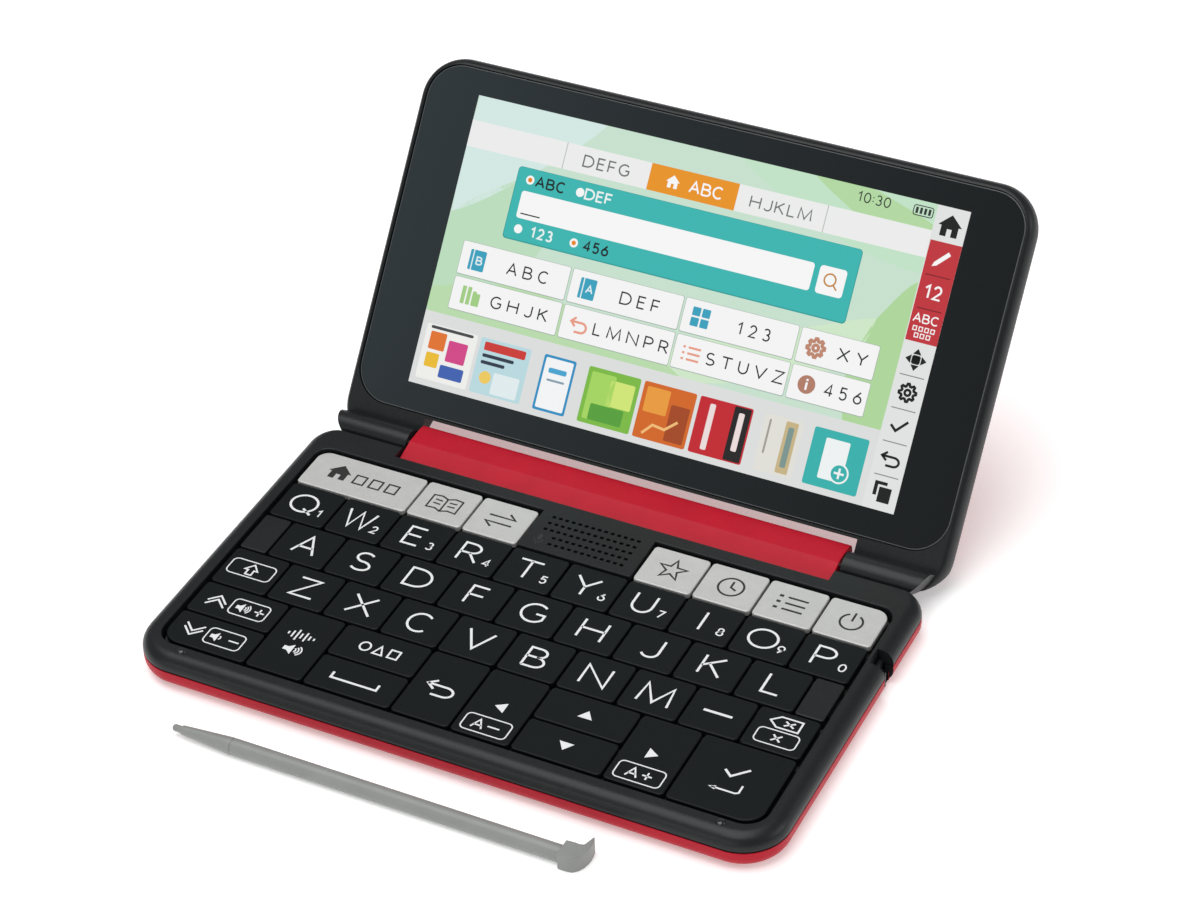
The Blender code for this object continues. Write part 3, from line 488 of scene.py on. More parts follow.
def polished_glass():
    """The panel's black-backed glass: its colour is painted paler to the left as a painted reflection, with
    the faintest wipe marks.
    """
    finish = Finish("black_backed_glass", {"IOR": 1.5, "Coat Weight": 0.0})
    across = finish.node("ShaderNodeSeparateXYZ", {}, {"Vector": finish.millimetres()})
    place = finish.millimetres((1, 3, 1), (0.3, 0, 0))
    wipes = finish.noise(place, 0.12, 4.0, 0.6)
    # painted reflection: the base colour runs from paler at the left to darker at the right
    painted_reflection_fade = finish.ramp(
        across * (1 / 150) + 0.5 + (wipes - 0.5) * 0.06,
        [
            (0.0, (0.0200, 0.0285, 0.0320)),
            (0.45, (0.0105, 0.0155, 0.0178)),
            (1.0, (0.0035, 0.0055, 0.0065)),
        ],
    )
    finish.vary(base_color=painted_reflection_fade, roughness=0.07 + wipes * 0.06)
    return finish.material


def ground_edge():
    """The glass's ground edge, which catches the light all round."""
    finish = Finish("ground_glass_edge", {"IOR": 1.5})
    fine = finish.noise(finish.millimetres(), 2.4, 3.0)
    finish.vary(
        base_color=finish.mix(fine, (0.075, 0.085, 0.09, 1), (0.11, 0.12, 0.125, 1)),
        roughness=0.28 + fine * 0.1,
    )
    return finish.material


def lit_screen():
    """The picture's own colours, lit from behind and broken up by the panel's fine pixel grid."""
    finish = Finish("lit_screen", {"Roughness": 0.25, "Emission Strength": 0.92, "IOR": 1.3})
    colour = finish.node("ShaderNodeAttribute", {"attribute_name": "tint"}, {}, "Color")
    place = finish.millimetres()
    spots = finish.node("ShaderNodeSeparateXYZ", {}, {"Vector": place})
    columns = (spots * 1.0) % 0.08
    gain = finish.node("ShaderNodeMath", {"operation": "MULTIPLY_ADD"}, {0: columns, 1: 0.7, 2: 0.95})
    dimmed = finish.node(
        "ShaderNodeVectorMath", {"operation": "SCALE"}, {"Vector": colour, "Scale": gain}
    )
    finish.vary(base_color=(0.01, 0.01, 0.01, 1), emission_color=dimmed)
    return finish.material


def brushed_steel():
    """Turned steel, with fine rings round the shaft."""
    finish = Finish("brushed_steel", {"Metallic": 1.0})
    place = finish.millimetres((6, 0.4, 0.4))
    rings = finish.noise(place, 2.0, 3.0)
    finish.vary(
        base_color=finish.mix(rings, (0.42, 0.42, 0.43, 1), (0.6, 0.6, 0.6, 1)),
        roughness=0.25 + rings * 0.2,
    )
    finish.bump(rings, 0.004)
    return finish.material


def green_board():
    """Solder mask over copper tracks that show as paler bands."""
    finish = Finish("circuit_board_mask", {"Roughness": 0.35})
    place = finish.millimetres()
    sockets = {"Vector": place, "Scale": 0.55, "Mortar Size": 0.05}
    tracks = finish.node("ShaderNodeTexBrick", {}, sockets, "Fac")
    weave = finish.noise(place, 1.5, 2.0)
    green = finish.mix(weave, (0.006, 0.07, 0.03, 1), (0.012, 0.11, 0.05, 1))
    finish.vary(base_color=finish.mix(tracks, green, (0.03, 0.2, 0.09, 1)))
    finish.bump(tracks, 0.02)
    return finish.material


def ribbed_can(name, colour, metallic):
    """A stamped can: a faint cross ribbing under satin paint."""
    finish = Finish(name, {"Metallic": metallic})
    place = finish.millimetres()
    ribs = finish.node("ShaderNodeTexWave", {}, {"Vector": place, "Scale": 0.4, "Distortion": 0.6}, "Fac")
    fine = finish.noise(place, 2.5, 3.0)
    finish.vary(
        base_color=finish.mix(fine, shade(colour, 0.8), shade(colour, 1.15)),
        roughness=0.45 + (fine - 0.5) * 0.2,
    )
    finish.bump(ribs * 0.7 + fine * 0.3, 0.05)
    return finish.material


BLACK = speckled_black()
KEY_BLACK = key_black()
KEY_SILVER = silver_paint()
RED = moulded("painted_red", (0.44, 0.0050, 0.020), 0.42, 2.6, 0.006, specular=0.16)
WHITE_INK = printed("white_ink", (0.80, 0.82, 0.82))
BLACK_INK = printed("black_ink", (0.012, 0.012, 0.013))
GLASS = polished_glass()
GLASS_EDGE = ground_edge()
SCREEN = lit_screen()
GREY = moulded("stylus_grey", (0.24, 0.247, 0.238), 0.42, 2.2, 0.008)
RUBBER = moulded("soft_rubber", (0.018, 0.018, 0.018), 0.75, 1.4, 0.03)
BUMPER_BLACK = moulded("bumper_rubber", (0.010, 0.011, 0.012), 0.16, 3.0, 0.002)
STEEL = brushed_steel()
BOARD = green_board()
BATTERY = ribbed_can("battery_sleeve", (0.26, 0.28, 0.30), 0.3)
SPEAKER = ribbed_can("speaker_basket", (0.05, 0.05, 0.05), 0.6)
PANEL_BACK = ribbed_can("display_backing", (0.30, 0.33, 0.30), 0.2)


# Geometry node trees for what repeats
def new_tree(name, inputs):
    """A geometry tree with named inputs, and the wires that bring them in."""
    tree = bpy.data.node_groups.new(name, "GeometryNodeTree")
    tree.interface.new_socket(name="Geometry", in_out="OUTPUT", socket_type="NodeSocketGeometry")
    for label, kind in inputs:
        tree.interface.new_socket(name=label, in_out="INPUT", socket_type=f"NodeSocket{kind}")
    graph = Graph(tree)
    source = tree.nodes.new("NodeGroupInput")
    wires = {label: Wire(graph, source.outputs[label]) for label, _ in inputs}
    return graph, wires


def end_tree(graph, instances, finish):
    """Ends a tree: real meshes in place of its instances, in their finish."""
    real = graph.node("GeometryNodeRealizeInstances", {}, {"Geometry": instances})
    done = graph.node("GeometryNodeSetMaterial", {}, {"Geometry": real, "Material": finish})
    graph.feed(graph.tree.nodes.new("NodeGroupOutput").inputs["Geometry"], done)
    return graph.tree


def slot_rows_tree():
    """Rows and columns of small slots, as solids to cut with."""
    graph, given = new_tree(
        "slot_rows",
        (
            ("Columns", "Int"),
            ("Rows", "Int"),
            ("Column Pitch", "Float"),
            ("Row Pitch", "Float"),
            ("Slot Size", "Vector"),
            ("Finish", "Material"),
        ),
    )
    sockets = {
        "Size X": (given["Columns"] - 1) * given["Column Pitch"],
        "Size Y": (given["Rows"] - 1) * given["Row Pitch"],
        "Vertices X": given["Columns"],
        "Vertices Y": given["Rows"],
    }
    grid = graph.node("GeometryNodeMeshGrid", {}, sockets)
    slot = graph.node("GeometryNodeMeshCube", {}, {"Size": given["Slot Size"]})
    slots = graph.node("GeometryNodeInstanceOnPoints", {}, {"Points": grid, "Instance": slot})
    return end_tree(graph, slots, given["Finish"])


def screw_heads_tree():
    """Round screw heads with a cross recess, one at each point of the mesh."""
    graph, given = new_tree(
        "screw_heads",
        (
            ("Geometry", "Geometry"),
            ("Head Radius", "Float"),
            ("Head Depth", "Float"),
            ("Recess Long", "Vector"),
            ("Recess Wide", "Vector"),
            ("Finish", "Material"),
        ),
    )
    sockets = {"Vertices": 24, "Radius": given["Head Radius"], "Depth": given["Head Depth"]}
    head = graph.node("GeometryNodeMeshCylinder", {}, sockets)
    long = graph.node("GeometryNodeMeshCube", {}, {"Size": given["Recess Long"]})
    wide = graph.node("GeometryNodeMeshCube", {}, {"Size": given["Recess Wide"]})
    down = graph.node("ShaderNodeCombineXYZ", {}, {"Z": given["Head Depth"] * -0.5})
    both = graph.tree.nodes.new("GeometryNodeMeshBoolean")
    both.operation = "DIFFERENCE"
    graph.feed(both.inputs["Mesh 1"], head)
    for recess in (long, wide):
        low = graph.node("GeometryNodeTransform", {}, {"Geometry": recess, "Translation": down})
        graph.feed(both.inputs["Mesh 2"], low)
    cut_head = Wire(graph, both.outputs["Mesh"])
    points = {"Points": given["Geometry"], "Instance": cut_head}
    heads = graph.node("GeometryNodeInstanceOnPoints", {}, points)
    return end_tree(graph, heads, given["Finish"])


def round_feet_tree():
    """Low round feet that narrow downwards, one at each point of the mesh."""
    graph, given = new_tree(
        "round_feet",
        (
            ("Geometry", "Geometry"),
            ("Sole Radius", "Float"),
            ("Root Radius", "Float"),
            ("Foot Height", "Float"),
            ("Finish", "Material"),
        ),
    )
    sockets = {
        "Vertices": 40,
        "Radius Top": given["Root Radius"],
        "Radius Bottom": given["Sole Radius"],
        "Depth": given["Foot Height"],
    }
    foot = graph.node("GeometryNodeMeshCone", {}, sockets)
    points = {"Points": given["Geometry"], "Instance": foot}
    feet = graph.node("GeometryNodeInstanceOnPoints", {}, points)
    return end_tree(graph, feet, given["Finish"])


def grown(name, tree, values, places=()):
    """A plain mesh object from a geometry tree, given its inputs and the points that it works on."""
    shape = bmesh.new()
    for place in places:
        shape.verts.new(place)
    item = object_of(name, shape)
    modifier = item.modifiers.new("grown", "NODES")
    modifier.node_group = tree
    for socket in tree.interface.items_tree:
        if socket.in_out == "INPUT" and socket.name in values:
            modifier[socket.identifier] = values[socket.name]
    settle(item)
    return item


# Base
def dress_rim_case():
    """The black rim: a pillow edge, the key well, the speaker panel with its slots, the bar's seat."""
    low = (-HALF_WIDTH, CASE_FRONT)
    high = (HALF_WIDTH, CASE_BACK)
    levels = [(0.15, 0.15, RING_BOTTOM), (0, 0, RING_BOTTOM + 0.15)]
    levels += rounded_top(3.3, 3.1, CASE_TOP, back=1.4, steps=10)
    case = object_of("rim_case", block(low, high, CASE_RADII, levels, 16))
    carve(case, [key_well_tool()])
    underside = box((-PANEL_SIDE - 0.28, PANEL_FRONT - 0.28, 0), (PANEL_SIDE + 0.28, WELL_BACK, 7.4))
    seat = box((-54.2, 34.85, 6.0), (54.2, CASE_BACK + OVERRUN, CASE_TOP + OVERRUN))
    notch = box((NOTCH_X, NOTCH_Y[0], 0), (HALF_WIDTH + OVERRUN, NOTCH_Y[1], CASE_TOP + OVERRUN))
    carve(case, [underside, seat, notch])
    soften(case, 0.55, notch_and_seat_edges, 4)
    carve(case, speaker_slots())
    add_blanks(case)
    finish_piece(case, "base", [BLACK], ["base_upper_case"])


def notch_and_seat_edges(first, second):
    """How much an edge of the rim is rounded, as a share of the widest rounding."""
    beside_notch = min(first.x, second.x) > NOTCH_X + 0.05 and abs(first.y - second.y) < 0.05
    if beside_notch and NOTCH_Y[0] - 0.05 < first.y < NOTCH_Y[1] + 0.05:
        return 1.0
    beside_seat = min(first.z, second.z) > CASE_TOP - 0.05 and min(first.y, second.y) > 34.7
    return 0.5 if beside_seat else 0.0


def key_well_tool():
    """The well round the keys, flared at its top, less the block that stays as the speaker panel."""
    low = (-WELL_SIDE, WELL_FRONT)
    high = (WELL_SIDE, WELL_BACK)
    flare = [(0, 0, 0), (0, 0, 8.5), (-0.05, -0.05, 8.7), (-0.15, -0.15, 8.82), (-0.36, -0.36, 8.94)]
    flare.append((-0.36, -0.36, CASE_TOP + OVERRUN))
    well = object_of("well", block(low, high, [4.7, 5.3, 3.7, 3.7], flare, 12))
    panel_levels = [(0, 0, -OVERRUN), (0, 0, 8.6)]
    panel_levels += [(0.03, 0, 8.75), (0.12, 0, 8.86), (0.25, 0, 8.94), (0.25, 0, 40)]
    panel = block(
        (-PANEL_SIDE, PANEL_FRONT), (PANEL_SIDE, WELL_BACK + 3), [0.5, 0.5, 0.4, 0.4], panel_levels, 4
    )
    carve(well, [panel])
    return well


def speaker_slots():
    """Two blocks of slots: three long rows and, beside the microphone mark, two shorter ones."""
    tree = slot_rows_tree()
    pitch = 1.62
    row = 2.22
    first = -10.53
    tools = []
    for name, columns, rows, middle in (("long", 14, 3, 27.77), ("short", 12, 2, 22.2)):
        values = {
            "Columns": columns,
            "Rows": rows,
            "Column Pitch": pitch,
            "Row Pitch": row,
            "Slot Size": (0.92, 0.78, 4.0),
            "Finish": BLACK,
        }
        rows_of_slots = grown(f"{name}_slot_rows", tree, values)
        last = first + 13 * pitch
        centre = last - (columns - 1) * pitch / 2
        rows_of_slots.data.transform(Matrix.Translation((centre, middle, CASE_TOP)))
        tools.append(rows_of_slots)
    return tools


def add_blanks(case):
    """The two fixed blocks at the ends of the home row, shaped as key caps, with their bridges."""
    shapes = []
    for left, right in BLANKS:
        levels = [(0, 0, 5.9), (0, 0, KEY_TOP - 0.28), *rounded_top(0.28, 0.28, KEY_TOP, steps=3)[1:]]
        low = (left, HOME_ROW[0] + 0.28)
        shapes.append(block(low, (right, HOME_ROW[1] - 0.28), [0.6] * 4, levels, 3))
        inner = min(abs(left), abs(right)) + 1
        ends = sorted((math.copysign(inner, left), math.copysign(WELL_SIDE + 0.5, left)))
        shapes.append(box((ends[0], -4.0, 6.0), (ends[1], 2.0, 7.1)))
    carve(case, shapes, "UNION")


def dress_tray_case():
    """The tray under the rim: red outside and black inside, with the notch's floor and the bore's ribs."""
    low = (-HALF_WIDTH, CASE_FRONT)
    high = (HALF_WIDTH, CASE_BACK)
    levels = [*rounded_foot(3.6, 3.4, 0.3, 8), (0, 0, PARTING - 0.12), (0.12, 0.12, PARTING)]
    tray = object_of("tray_case", block(low, high, CASE_RADII, levels, 16))
    hollow = block(
        (2 - HALF_WIDTH, CASE_FRONT + 2),
        (HALF_WIDTH - 2, CASE_BACK - 2),
        [radius - 2 for radius in CASE_RADII],
        [(1.8, 1.8, 1.2), (0.3, 0.3, 2.9), (0, 0, 3.6), (0, 0, PARTING + OVERRUN)],
        10,
    )
    notch = box((NOTCH_X, NOTCH_Y[0], 1.4), (HALF_WIDTH + OVERRUN, NOTCH_Y[1], PARTING + OVERRUN))
    carve(tray, [hollow, notch])
    ribs = []
    for front, back in ((12.9, 13.7), (18.2, 19.0)):
        ribs.append(box((-21.7, front, 0.9), (HALF_WIDTH - 1.0, back, 3.4)))
    ribs.append(box((-21.7, 13.3, 0.9), (-20.9, 18.6, 3.4)))
    carve(tray, ribs, "UNION")
    for face in tray.data.polygons:
        face.material_index = 0 if on_tray_skin(face) else 1
    finish_piece(tray, "base", [RED, BLACK], ["base_lower_case"])


def on_tray_skin(face):
    """Whether a face of the tray lies on its outer skin."""
    x, y, z = face.center
    if z < 0.9 or abs(face.normal.z) > 0.99:
        return z < 0.9
    if NOTCH_Y[0] - 0.2 < y < NOTCH_Y[1] + 0.2 and x > NOTCH_X - 0.2:
        return face.normal.x > 0.5
    corner = PLAN_RADIUS if y < 0 else CASE_RADII[2]
    over_x = max(abs(x) - (HALF_WIDTH - corner), 0)
    over_y = max(CASE_FRONT + corner - y, y - (CASE_BACK - corner), 0)
    outward = math.hypot(over_x, over_y)
    inset = corner - (outward if over_x and over_y else max(over_x, over_y))
    return inset < 1.3 + max(3.4 - z, 0) * 0.35


def bore_shelf():
    """The small black rib that the stylus head passes over at the mouth of its bore."""
    shelf_levels = [(0, 0, 3.0), *rounded_top(0.25, 0.3, 6.4, steps=3)]
    shelf = block((72.9, 13.7), (73.9, 18.2), [0.2] * 4, shelf_levels, 2)
    post_levels = [(0, 0, 1.3), *rounded_top(0.2, 0.3, 5.2, steps=3)]
    post = block((73.4, 15.4), (75.6, 16.1), [0.2] * 4, post_levels, 2)
    item = object_of("bore_mouth_rib", shelf)
    carve(item, [post], "UNION")
    finish_piece(item, "base", [BLACK])


def dress_underside():
    """Four soft feet and six small screws under the tray."""
    values = {"Sole Radius": 3.6, "Root Radius": 4.0, "Foot Height": 0.5, "Finish": RUBBER}
    places = [(x, y, 0.25) for x in (-64, 64) for y in (-35.5, 29.5)]
    feet = grown("case_feet", round_feet_tree(), values, places)
    finish_piece(feet, "base", [RUBBER])
    values = {
        "Head Radius": 1.7,
        "Head Depth": 0.5,
        "Recess Long": (2.0, 0.45, 0.5),
        "Recess Wide": (0.45, 2.0, 0.5),
        "Finish": STEEL,
    }
    places = [(x, y, 0.4) for x in (-70, 0, 70) for y in (-23, 18)]
    screws = grown("case_screws", screw_heads_tree(), values, places)
    finish_piece(screws, "base", [STEEL])


def dress_bumpers():
    """Two small glossy domes that the lid's rim rests on."""
    shape = bmesh.new()
    profile = [(0, 0.5), (0.45, 0.47), (0.8, 0.36), (1.02, 0.2), (1.12, 0.0), (1.12, -0.6), (0, -0.6)]
    for x in (-63.8, 63.8):
        dome = turned(profile, 28)
        place = Matrix.Translation((x, -43.1, CASE_TOP)) @ Matrix.Rotation(-math.pi / 2, 4, "Y")
        bmesh.ops.transform(dome, matrix=place, verts=dome.verts)
        mesh = bpy.data.meshes.new("dome")
        dome.to_mesh(mesh)
        dome.free()
        shape.from_mesh(mesh)
        bpy.data.meshes.remove(mesh)
    finish_piece(object_of("lid_bumpers", shape), "base", [BUMPER_BLACK])


# Marks: strokes and filled outlines in a unit square; six numbers are an arc's centre, radii and ends
GLYPHS = {
    "A": (0.92, [[(0, 0), (0.5, 1), (1, 0)], [(0.17, 0.34), (0.83, 0.34)]]),
    "B": (
        0.80,
        [
            [(0, 0), (0, 1), (0.5, 1), (0.5, 0.765, 0.38, 0.235, 90, -90), (0, 0.53)],
            [(0.5, 0.53), (0.54, 0.265, 0.46, 0.265, 90, -90), (0, 0)],
        ],
    ),
    "C": (0.92, [[(0.52, 0.5, 0.52, 0.5, 48, 312)]]),
    "D": (0.98, [[(0, 0), (0, 1), (0.4, 1), (0.4, 0.5, 0.6, 0.5, 90, -90), (0, 0)]]),
    "E": (0.65, [[(1, 1), (0, 1), (0, 0), (1, 0)], [(0, 0.53), (0.92, 0.53)]]),
    "F": (0.65, [[(1, 1), (0, 1), (0, 0)], [(0, 0.5), (0.92, 0.5)]]),
    "G": (1.0, [[(0.52, 0.5, 0.52, 0.5, 50, 325), (0.95, 0.47), (0.6, 0.47)]]),
    "H": (0.95, [[(0, 0), (0, 1)], [(1, 0), (1, 1)], [(0, 0.53), (1, 0.53)]]),
    "I": (0.10, [[(0.5, 0), (0.5, 1)]]),
    "J": (0.70, [[(0.98, 1), (0.98, 0.3), (0.5, 0.3, 0.48, 0.3, 0, -150)]]),
    "K": (0.83, [[(0, 0), (0, 1)], [(0.92, 1), (0, 0.42)], [(0.3, 0.6), (1, 0)]]),
    "L": (0.65, [[(0, 1), (0, 0), (1, 0)]]),
    "M": (1.22, [[(0, 0), (0.08, 1), (0.5, 0.06), (0.92, 1), (1, 0)]]),
    "N": (0.98, [[(0, 0), (0, 1), (1, 0), (1, 1)]]),
    "O": (1.13, [[(0.5, 0.5, 0.5, 0.5, 0, 360)]]),
    "P": (0.75, [[(0, 0), (0, 1), (0.5, 1), (0.5, 0.72, 0.5, 0.28, 90, -90), (0, 0.44)]]),
    "Q": (1.10, [[(0.5, 0.5, 0.5, 0.5, 0, 360)], [(0.6, 0.22), (0.98, -0.05)]]),
    "R": (
        0.80,
        [
            [(0, 0), (0, 1), (0.45, 1), (0.45, 0.73, 0.46, 0.27, 90, -90), (0, 0.46)],
            [(0.48, 0.46), (1, 0)],
        ],
    ),
    "S": (0.76, [[(0.5, 0.745, 0.44, 0.255, 40, 270), (0.5, 0.25, 0.5, 0.25, 85, -145)]]),
    "T": (0.94, [[(0, 1), (1, 1)], [(0.5, 1), (0.5, 0)]]),
    "U": (0.81, [[(0, 1), (0, 0.4), (0.5, 0.4, 0.5, 0.4, 180, 360), (1, 1)]]),
    "V": (1.05, [[(0, 1), (0.5, 0), (1, 1)]]),
    "W": (1.17, [[(0, 1), (0.26, 0), (0.5, 0.98), (0.74, 0), (1, 1)]]),
    "X": (1.0, [[(0, 0), (0.95, 1)], [(0.03, 1), (1, 0)]]),
    "Y": (0.95, [[(0, 1), (0.5, 0.47), (1, 1)], [(0.5, 0.47), (0.5, 0)]]),
    "Z": (0.95, [[(0.05, 1), (0.95, 1), (0, 0), (1, 0)]]),
    "0": (0.66, [[(0.5, 0.5, 0.5, 0.5, 0, 360)]]),
    "1": (0.42, [[(0, 0.76), (0.7, 1), (0.7, 0)]]),
    "2": (0.60, [[(0.48, 0.7, 0.46, 0.3, 165, -35), (0, 0), (1, 0)]]),
    "3": (
        0.60,
        [[(0.45, 0.75, 0.42, 0.25, 150, -90)], [(0.45, 0.26, 0.5, 0.26, 90, -150)]],
    ),
    "4": (0.68, [[(0.72, 0), (0.72, 1), (0, 0.28), (1, 0.28)]]),
    "5": (0.60, [[(0.92, 1), (0.12, 1), (0.06, 0.56), (0.45, 0.32, 0.5, 0.32, 135, -150)]]),
    "6": (0.64, [[(0.5, 0.31, 0.5, 0.31, 0, 360)], [(0.8, 1), (0.06, 0.46)]]),
    "7": (0.60, [[(0, 1), (1, 1), (0.3, 0)]]),
    "8": (0.64, [[(0.5, 0.75, 0.4, 0.25, 0, 360)], [(0.5, 0.26, 0.5, 0.26, 0, 360)]]),
    "9": (0.64, [[(0.5, 0.69, 0.5, 0.31, 0, 360)], [(0.2, 0), (0.94, 0.54)]]),
    "-": (1.02, [[(0, 0.5), (1, 0.5)]]),
    "+": (0.80, [[(0, 0.5), (1, 0.5)], [(0.5, 0.1), (0.5, 0.9)]]),
    ":": (0.10, [[(0.5, 0.22), (0.5, 0.34)], [(0.5, 0.62), (0.5, 0.74)]]),
}
HOUSE = [(0, 0.48), (0.5, 1), (1, 0.48), (0.86, 0.48), (0.86, 0), (0.6, 0), (0.6, 0.34), (0.4, 0.34)]
HOUSE += [(0.4, 0), (0.14, 0), (0.14, 0.48)]
SPEAKER_BODY = [(0, 0.32), (0.24, 0.32), (0.52, 0.02), (0.52, 0.98), (0.24, 0.68), (0, 0.68)]
STAR = [
    (0.5 + radius * math.sin(k * math.pi / 5), 0.5 + radius * math.cos(k * math.pi / 5))
    for k, radius in enumerate((0.5, 0.2) * 5)
]
SQUARES = [
    [(x, 0.1), (x, 0.9), (x + 0.24, 0.9), (x + 0.24, 0.1), (x, 0.1)] for x in (0, 0.38, 0.76)
]
WAVE_X = (0, 0.17, 0.34, 0.5, 0.67, 0.83, 1)
WAVE_REACH = (0.12, 0.3, 0.5, 0.24, 0.42, 0.2, 0.1)
ICONS = {
    "house": ([HOUSE], []),
    "squares": ([], SQUARES),
    "open_book": (
        [],
        [
            [(0.5, 0.8), (0.28, 0.92), (0, 0.88), (0, 0.12), (0.28, 0.16), (0.5, 0.04)],
            [(0.5, 0.8), (0.72, 0.92), (1, 0.88), (1, 0.12), (0.72, 0.16), (0.5, 0.04), (0.5, 0.8)],
            [(0.13, 0.66), (0.38, 0.64)],
            [(0.13, 0.44), (0.38, 0.42)],
            [(0.62, 0.64), (0.87, 0.66)],
            [(0.62, 0.42), (0.87, 0.44)],
        ],
    ),
    "swap": (
        [],
        [
            [(0.05, 0.7), (0.95, 0.7), (0.68, 0.98)],
            [(0.95, 0.3), (0.05, 0.3), (0.32, 0.02)],
        ],
    ),
    "star": ([], [STAR + STAR[:1]]),
    "clock": ([], [[(0.5, 0.5, 0.5, 0.5, 0, 360)], [(0.5, 0.82), (0.5, 0.48), (0.74, 0.36)]]),
    "list": (
        [[(0, y - 0.07), (0.14, y - 0.07), (0.14, y + 0.07), (0, y + 0.07)] for y in (0.12, 0.5, 0.88)],
        [[(0.3, y), (1, y)] for y in (0.12, 0.5, 0.88)],
    ),
    "power": ([], [[(0.5, 0.46, 0.46, 0.46, 118, 422)], [(0.5, 1.02), (0.5, 0.5)]]),
    "shift": (
        [],
        [[(0.5, 1), (0, 0.46), (0.27, 0.46), (0.27, 0), (0.73, 0), (0.73, 0.46), (1, 0.46), (0.5, 1)]],
    ),
    "erase": (
        [],
        [
            [(0, 0.5), (0.28, 1), (1, 1), (1, 0), (0.28, 0), (0, 0.5)],
            [(0.48, 0.72), (0.8, 0.28)],
            [(0.48, 0.28), (0.8, 0.72)],
        ],
    ),
    "cross": ([], [[(0.1, 0.1), (0.9, 0.9)], [(0.1, 0.9), (0.9, 0.1)]]),
    "chevrons_up": ([], [[(0, 0.36), (0.5, 0.96), (1, 0.36)], [(0, 0), (0.5, 0.6), (1, 0)]]),
    "chevrons_down": ([], [[(0, 0.64), (0.5, 0.04), (1, 0.64)], [(0, 1), (0.5, 0.4), (1, 1)]]),
    "loud": (
        [SPEAKER_BODY],
        [
            [(0.5, 0.5, 0.2, 0.22, 50, -50)],
            [(0.5, 0.5, 0.36, 0.38, 50, -50)],
            [(0.5, 0.5, 0.52, 0.54, 50, -50)],
        ],
    ),
    "quiet": ([SPEAKER_BODY], [[(0.5, 0.5, 0.22, 0.24, 50, -50)]]),
    "waves": (
        [],
        [[(x, 0.5 - tall), (x, 0.5 + tall)] for x, tall in zip(WAVE_X, WAVE_REACH)],
    ),
    "shapes": (
        [],
        [
            [(0.13, 0.5, 0.13, 0.44, 0, 360)],
            [(0.38, 0.06), (0.5, 0.94), (0.62, 0.06), (0.38, 0.06)],
            [(0.76, 0.08), (0.76, 0.92), (1, 0.92), (1, 0.08), (0.76, 0.08)],
        ],
    ),
    "gap": ([], [[(0, 1), (0, 0), (1, 0), (1, 1)]]),
    "return": (
        [],
        [
            [(0.28, 0.9), (0, 0.62), (0.28, 0.34)],
            [(0, 0.62), (0.7, 0.62), (0.7, 0.32, 0.3, 0.3, 90, -90), (0.3, 0.02)],
        ],
    ),
    "triangle_left": ([[(1, 0), (1, 1), (0, 0.5)]], []),
    "triangle_right": ([[(0, 0), (1, 0.5), (0, 1)]], []),
    "triangle_up": ([[(0, 0), (1, 0), (0.5, 1)]], []),
    "triangle_down": ([[(0, 1), (0.5, 0), (1, 1)]], []),
    "tick": ([], [[(0, 0.5), (0.36, 0.1), (1, 0.94)]]),
    "enter": (
        [[(0, 0.24), (0.24, 0.42), (0.24, 0.06)]],
        [[(0.98, 1), (0.98, 0.36), (0.88, 0.24), (0.1, 0.24)]],
    ),
    "microphone": (
        [[(0.3, 0.46), (0.7, 0.46), (0.7, 0.9), (0.6, 1), (0.4, 1), (0.3, 0.9)]],
        [
            [(0.06, 0.56), (0.06, 0.42), (0.3, 0.24), (0.7, 0.24), (0.94, 0.42), (0.94, 0.56)],
            [(0.5, 0.24), (0.5, 0.02)],
        ],
    ),
    "magnifier": ([], [[(0.42, 0.58, 0.4, 0.4, 0, 360)], [(0.7, 0.3), (1, 0)]]),
    "pen": ([[(0.0, 0.0), (0.28, 0.1), (1.0, 0.82), (0.82, 1.0), (0.1, 0.28)]], []),
    "arrows": (
        [
            [(0.5, 1), (0.3, 0.74), (0.7, 0.74)],
            [(0.5, 0), (0.7, 0.26), (0.3, 0.26)],
            [(0, 0.5), (0.26, 0.3), (0.26, 0.7)],
            [(1, 0.5), (0.74, 0.7), (0.74, 0.3)],
        ],
        [[(0.5, 0.3), (0.5, 0.7)], [(0.3, 0.5), (0.7, 0.5)]],
    ),
    "pages": (
        [
            [(0.3, 0), (1, 0), (1, 0.74), (0.3, 0.74)],
            [(0, 0.3), (0.2, 0.3), (0.2, 0.84), (0.7, 0.84), (0.7, 1), (0, 1)],
        ],
        [],
    ),
    "keypad": (
        [],
        [
            [(x, y), (x, y + 0.3), (x + 0.16, y + 0.3), (x + 0.16, y), (x, y)]
            for x, y in ((0, 0.6), (0.28, 0.6), (0.56, 0.6), (0.84, 0.6), (0.14, 0.1), (0.42, 0.1), (0.7, 0.1))
        ],
    ),
    "gear": (
        [],
        [
            [
                (
                    0.5 + (0.5, 0.5, 0.37, 0.37)[k % 4] * math.cos(k * math.pi / 16),
                    0.5 + (0.5, 0.5, 0.37, 0.37)[k % 4] * math.sin(k * math.pi / 16),
                )
                for k in range(33)
            ],
            [(0.5, 0.5, 0.16, 0.16, 0, 360)],
        ],
    ),
}


def colour_of(code):
    """A linear colour from six hexadecimal digits."""
    parts = [int(code[start : start + 2], 16) / 255 for start in (0, 2, 4)]
    linear = [part / 12.92 if part <= 0.04045 else ((part + 0.055) / 1.055) ** 2.4 for part in parts]
    return (*linear, 1.0)


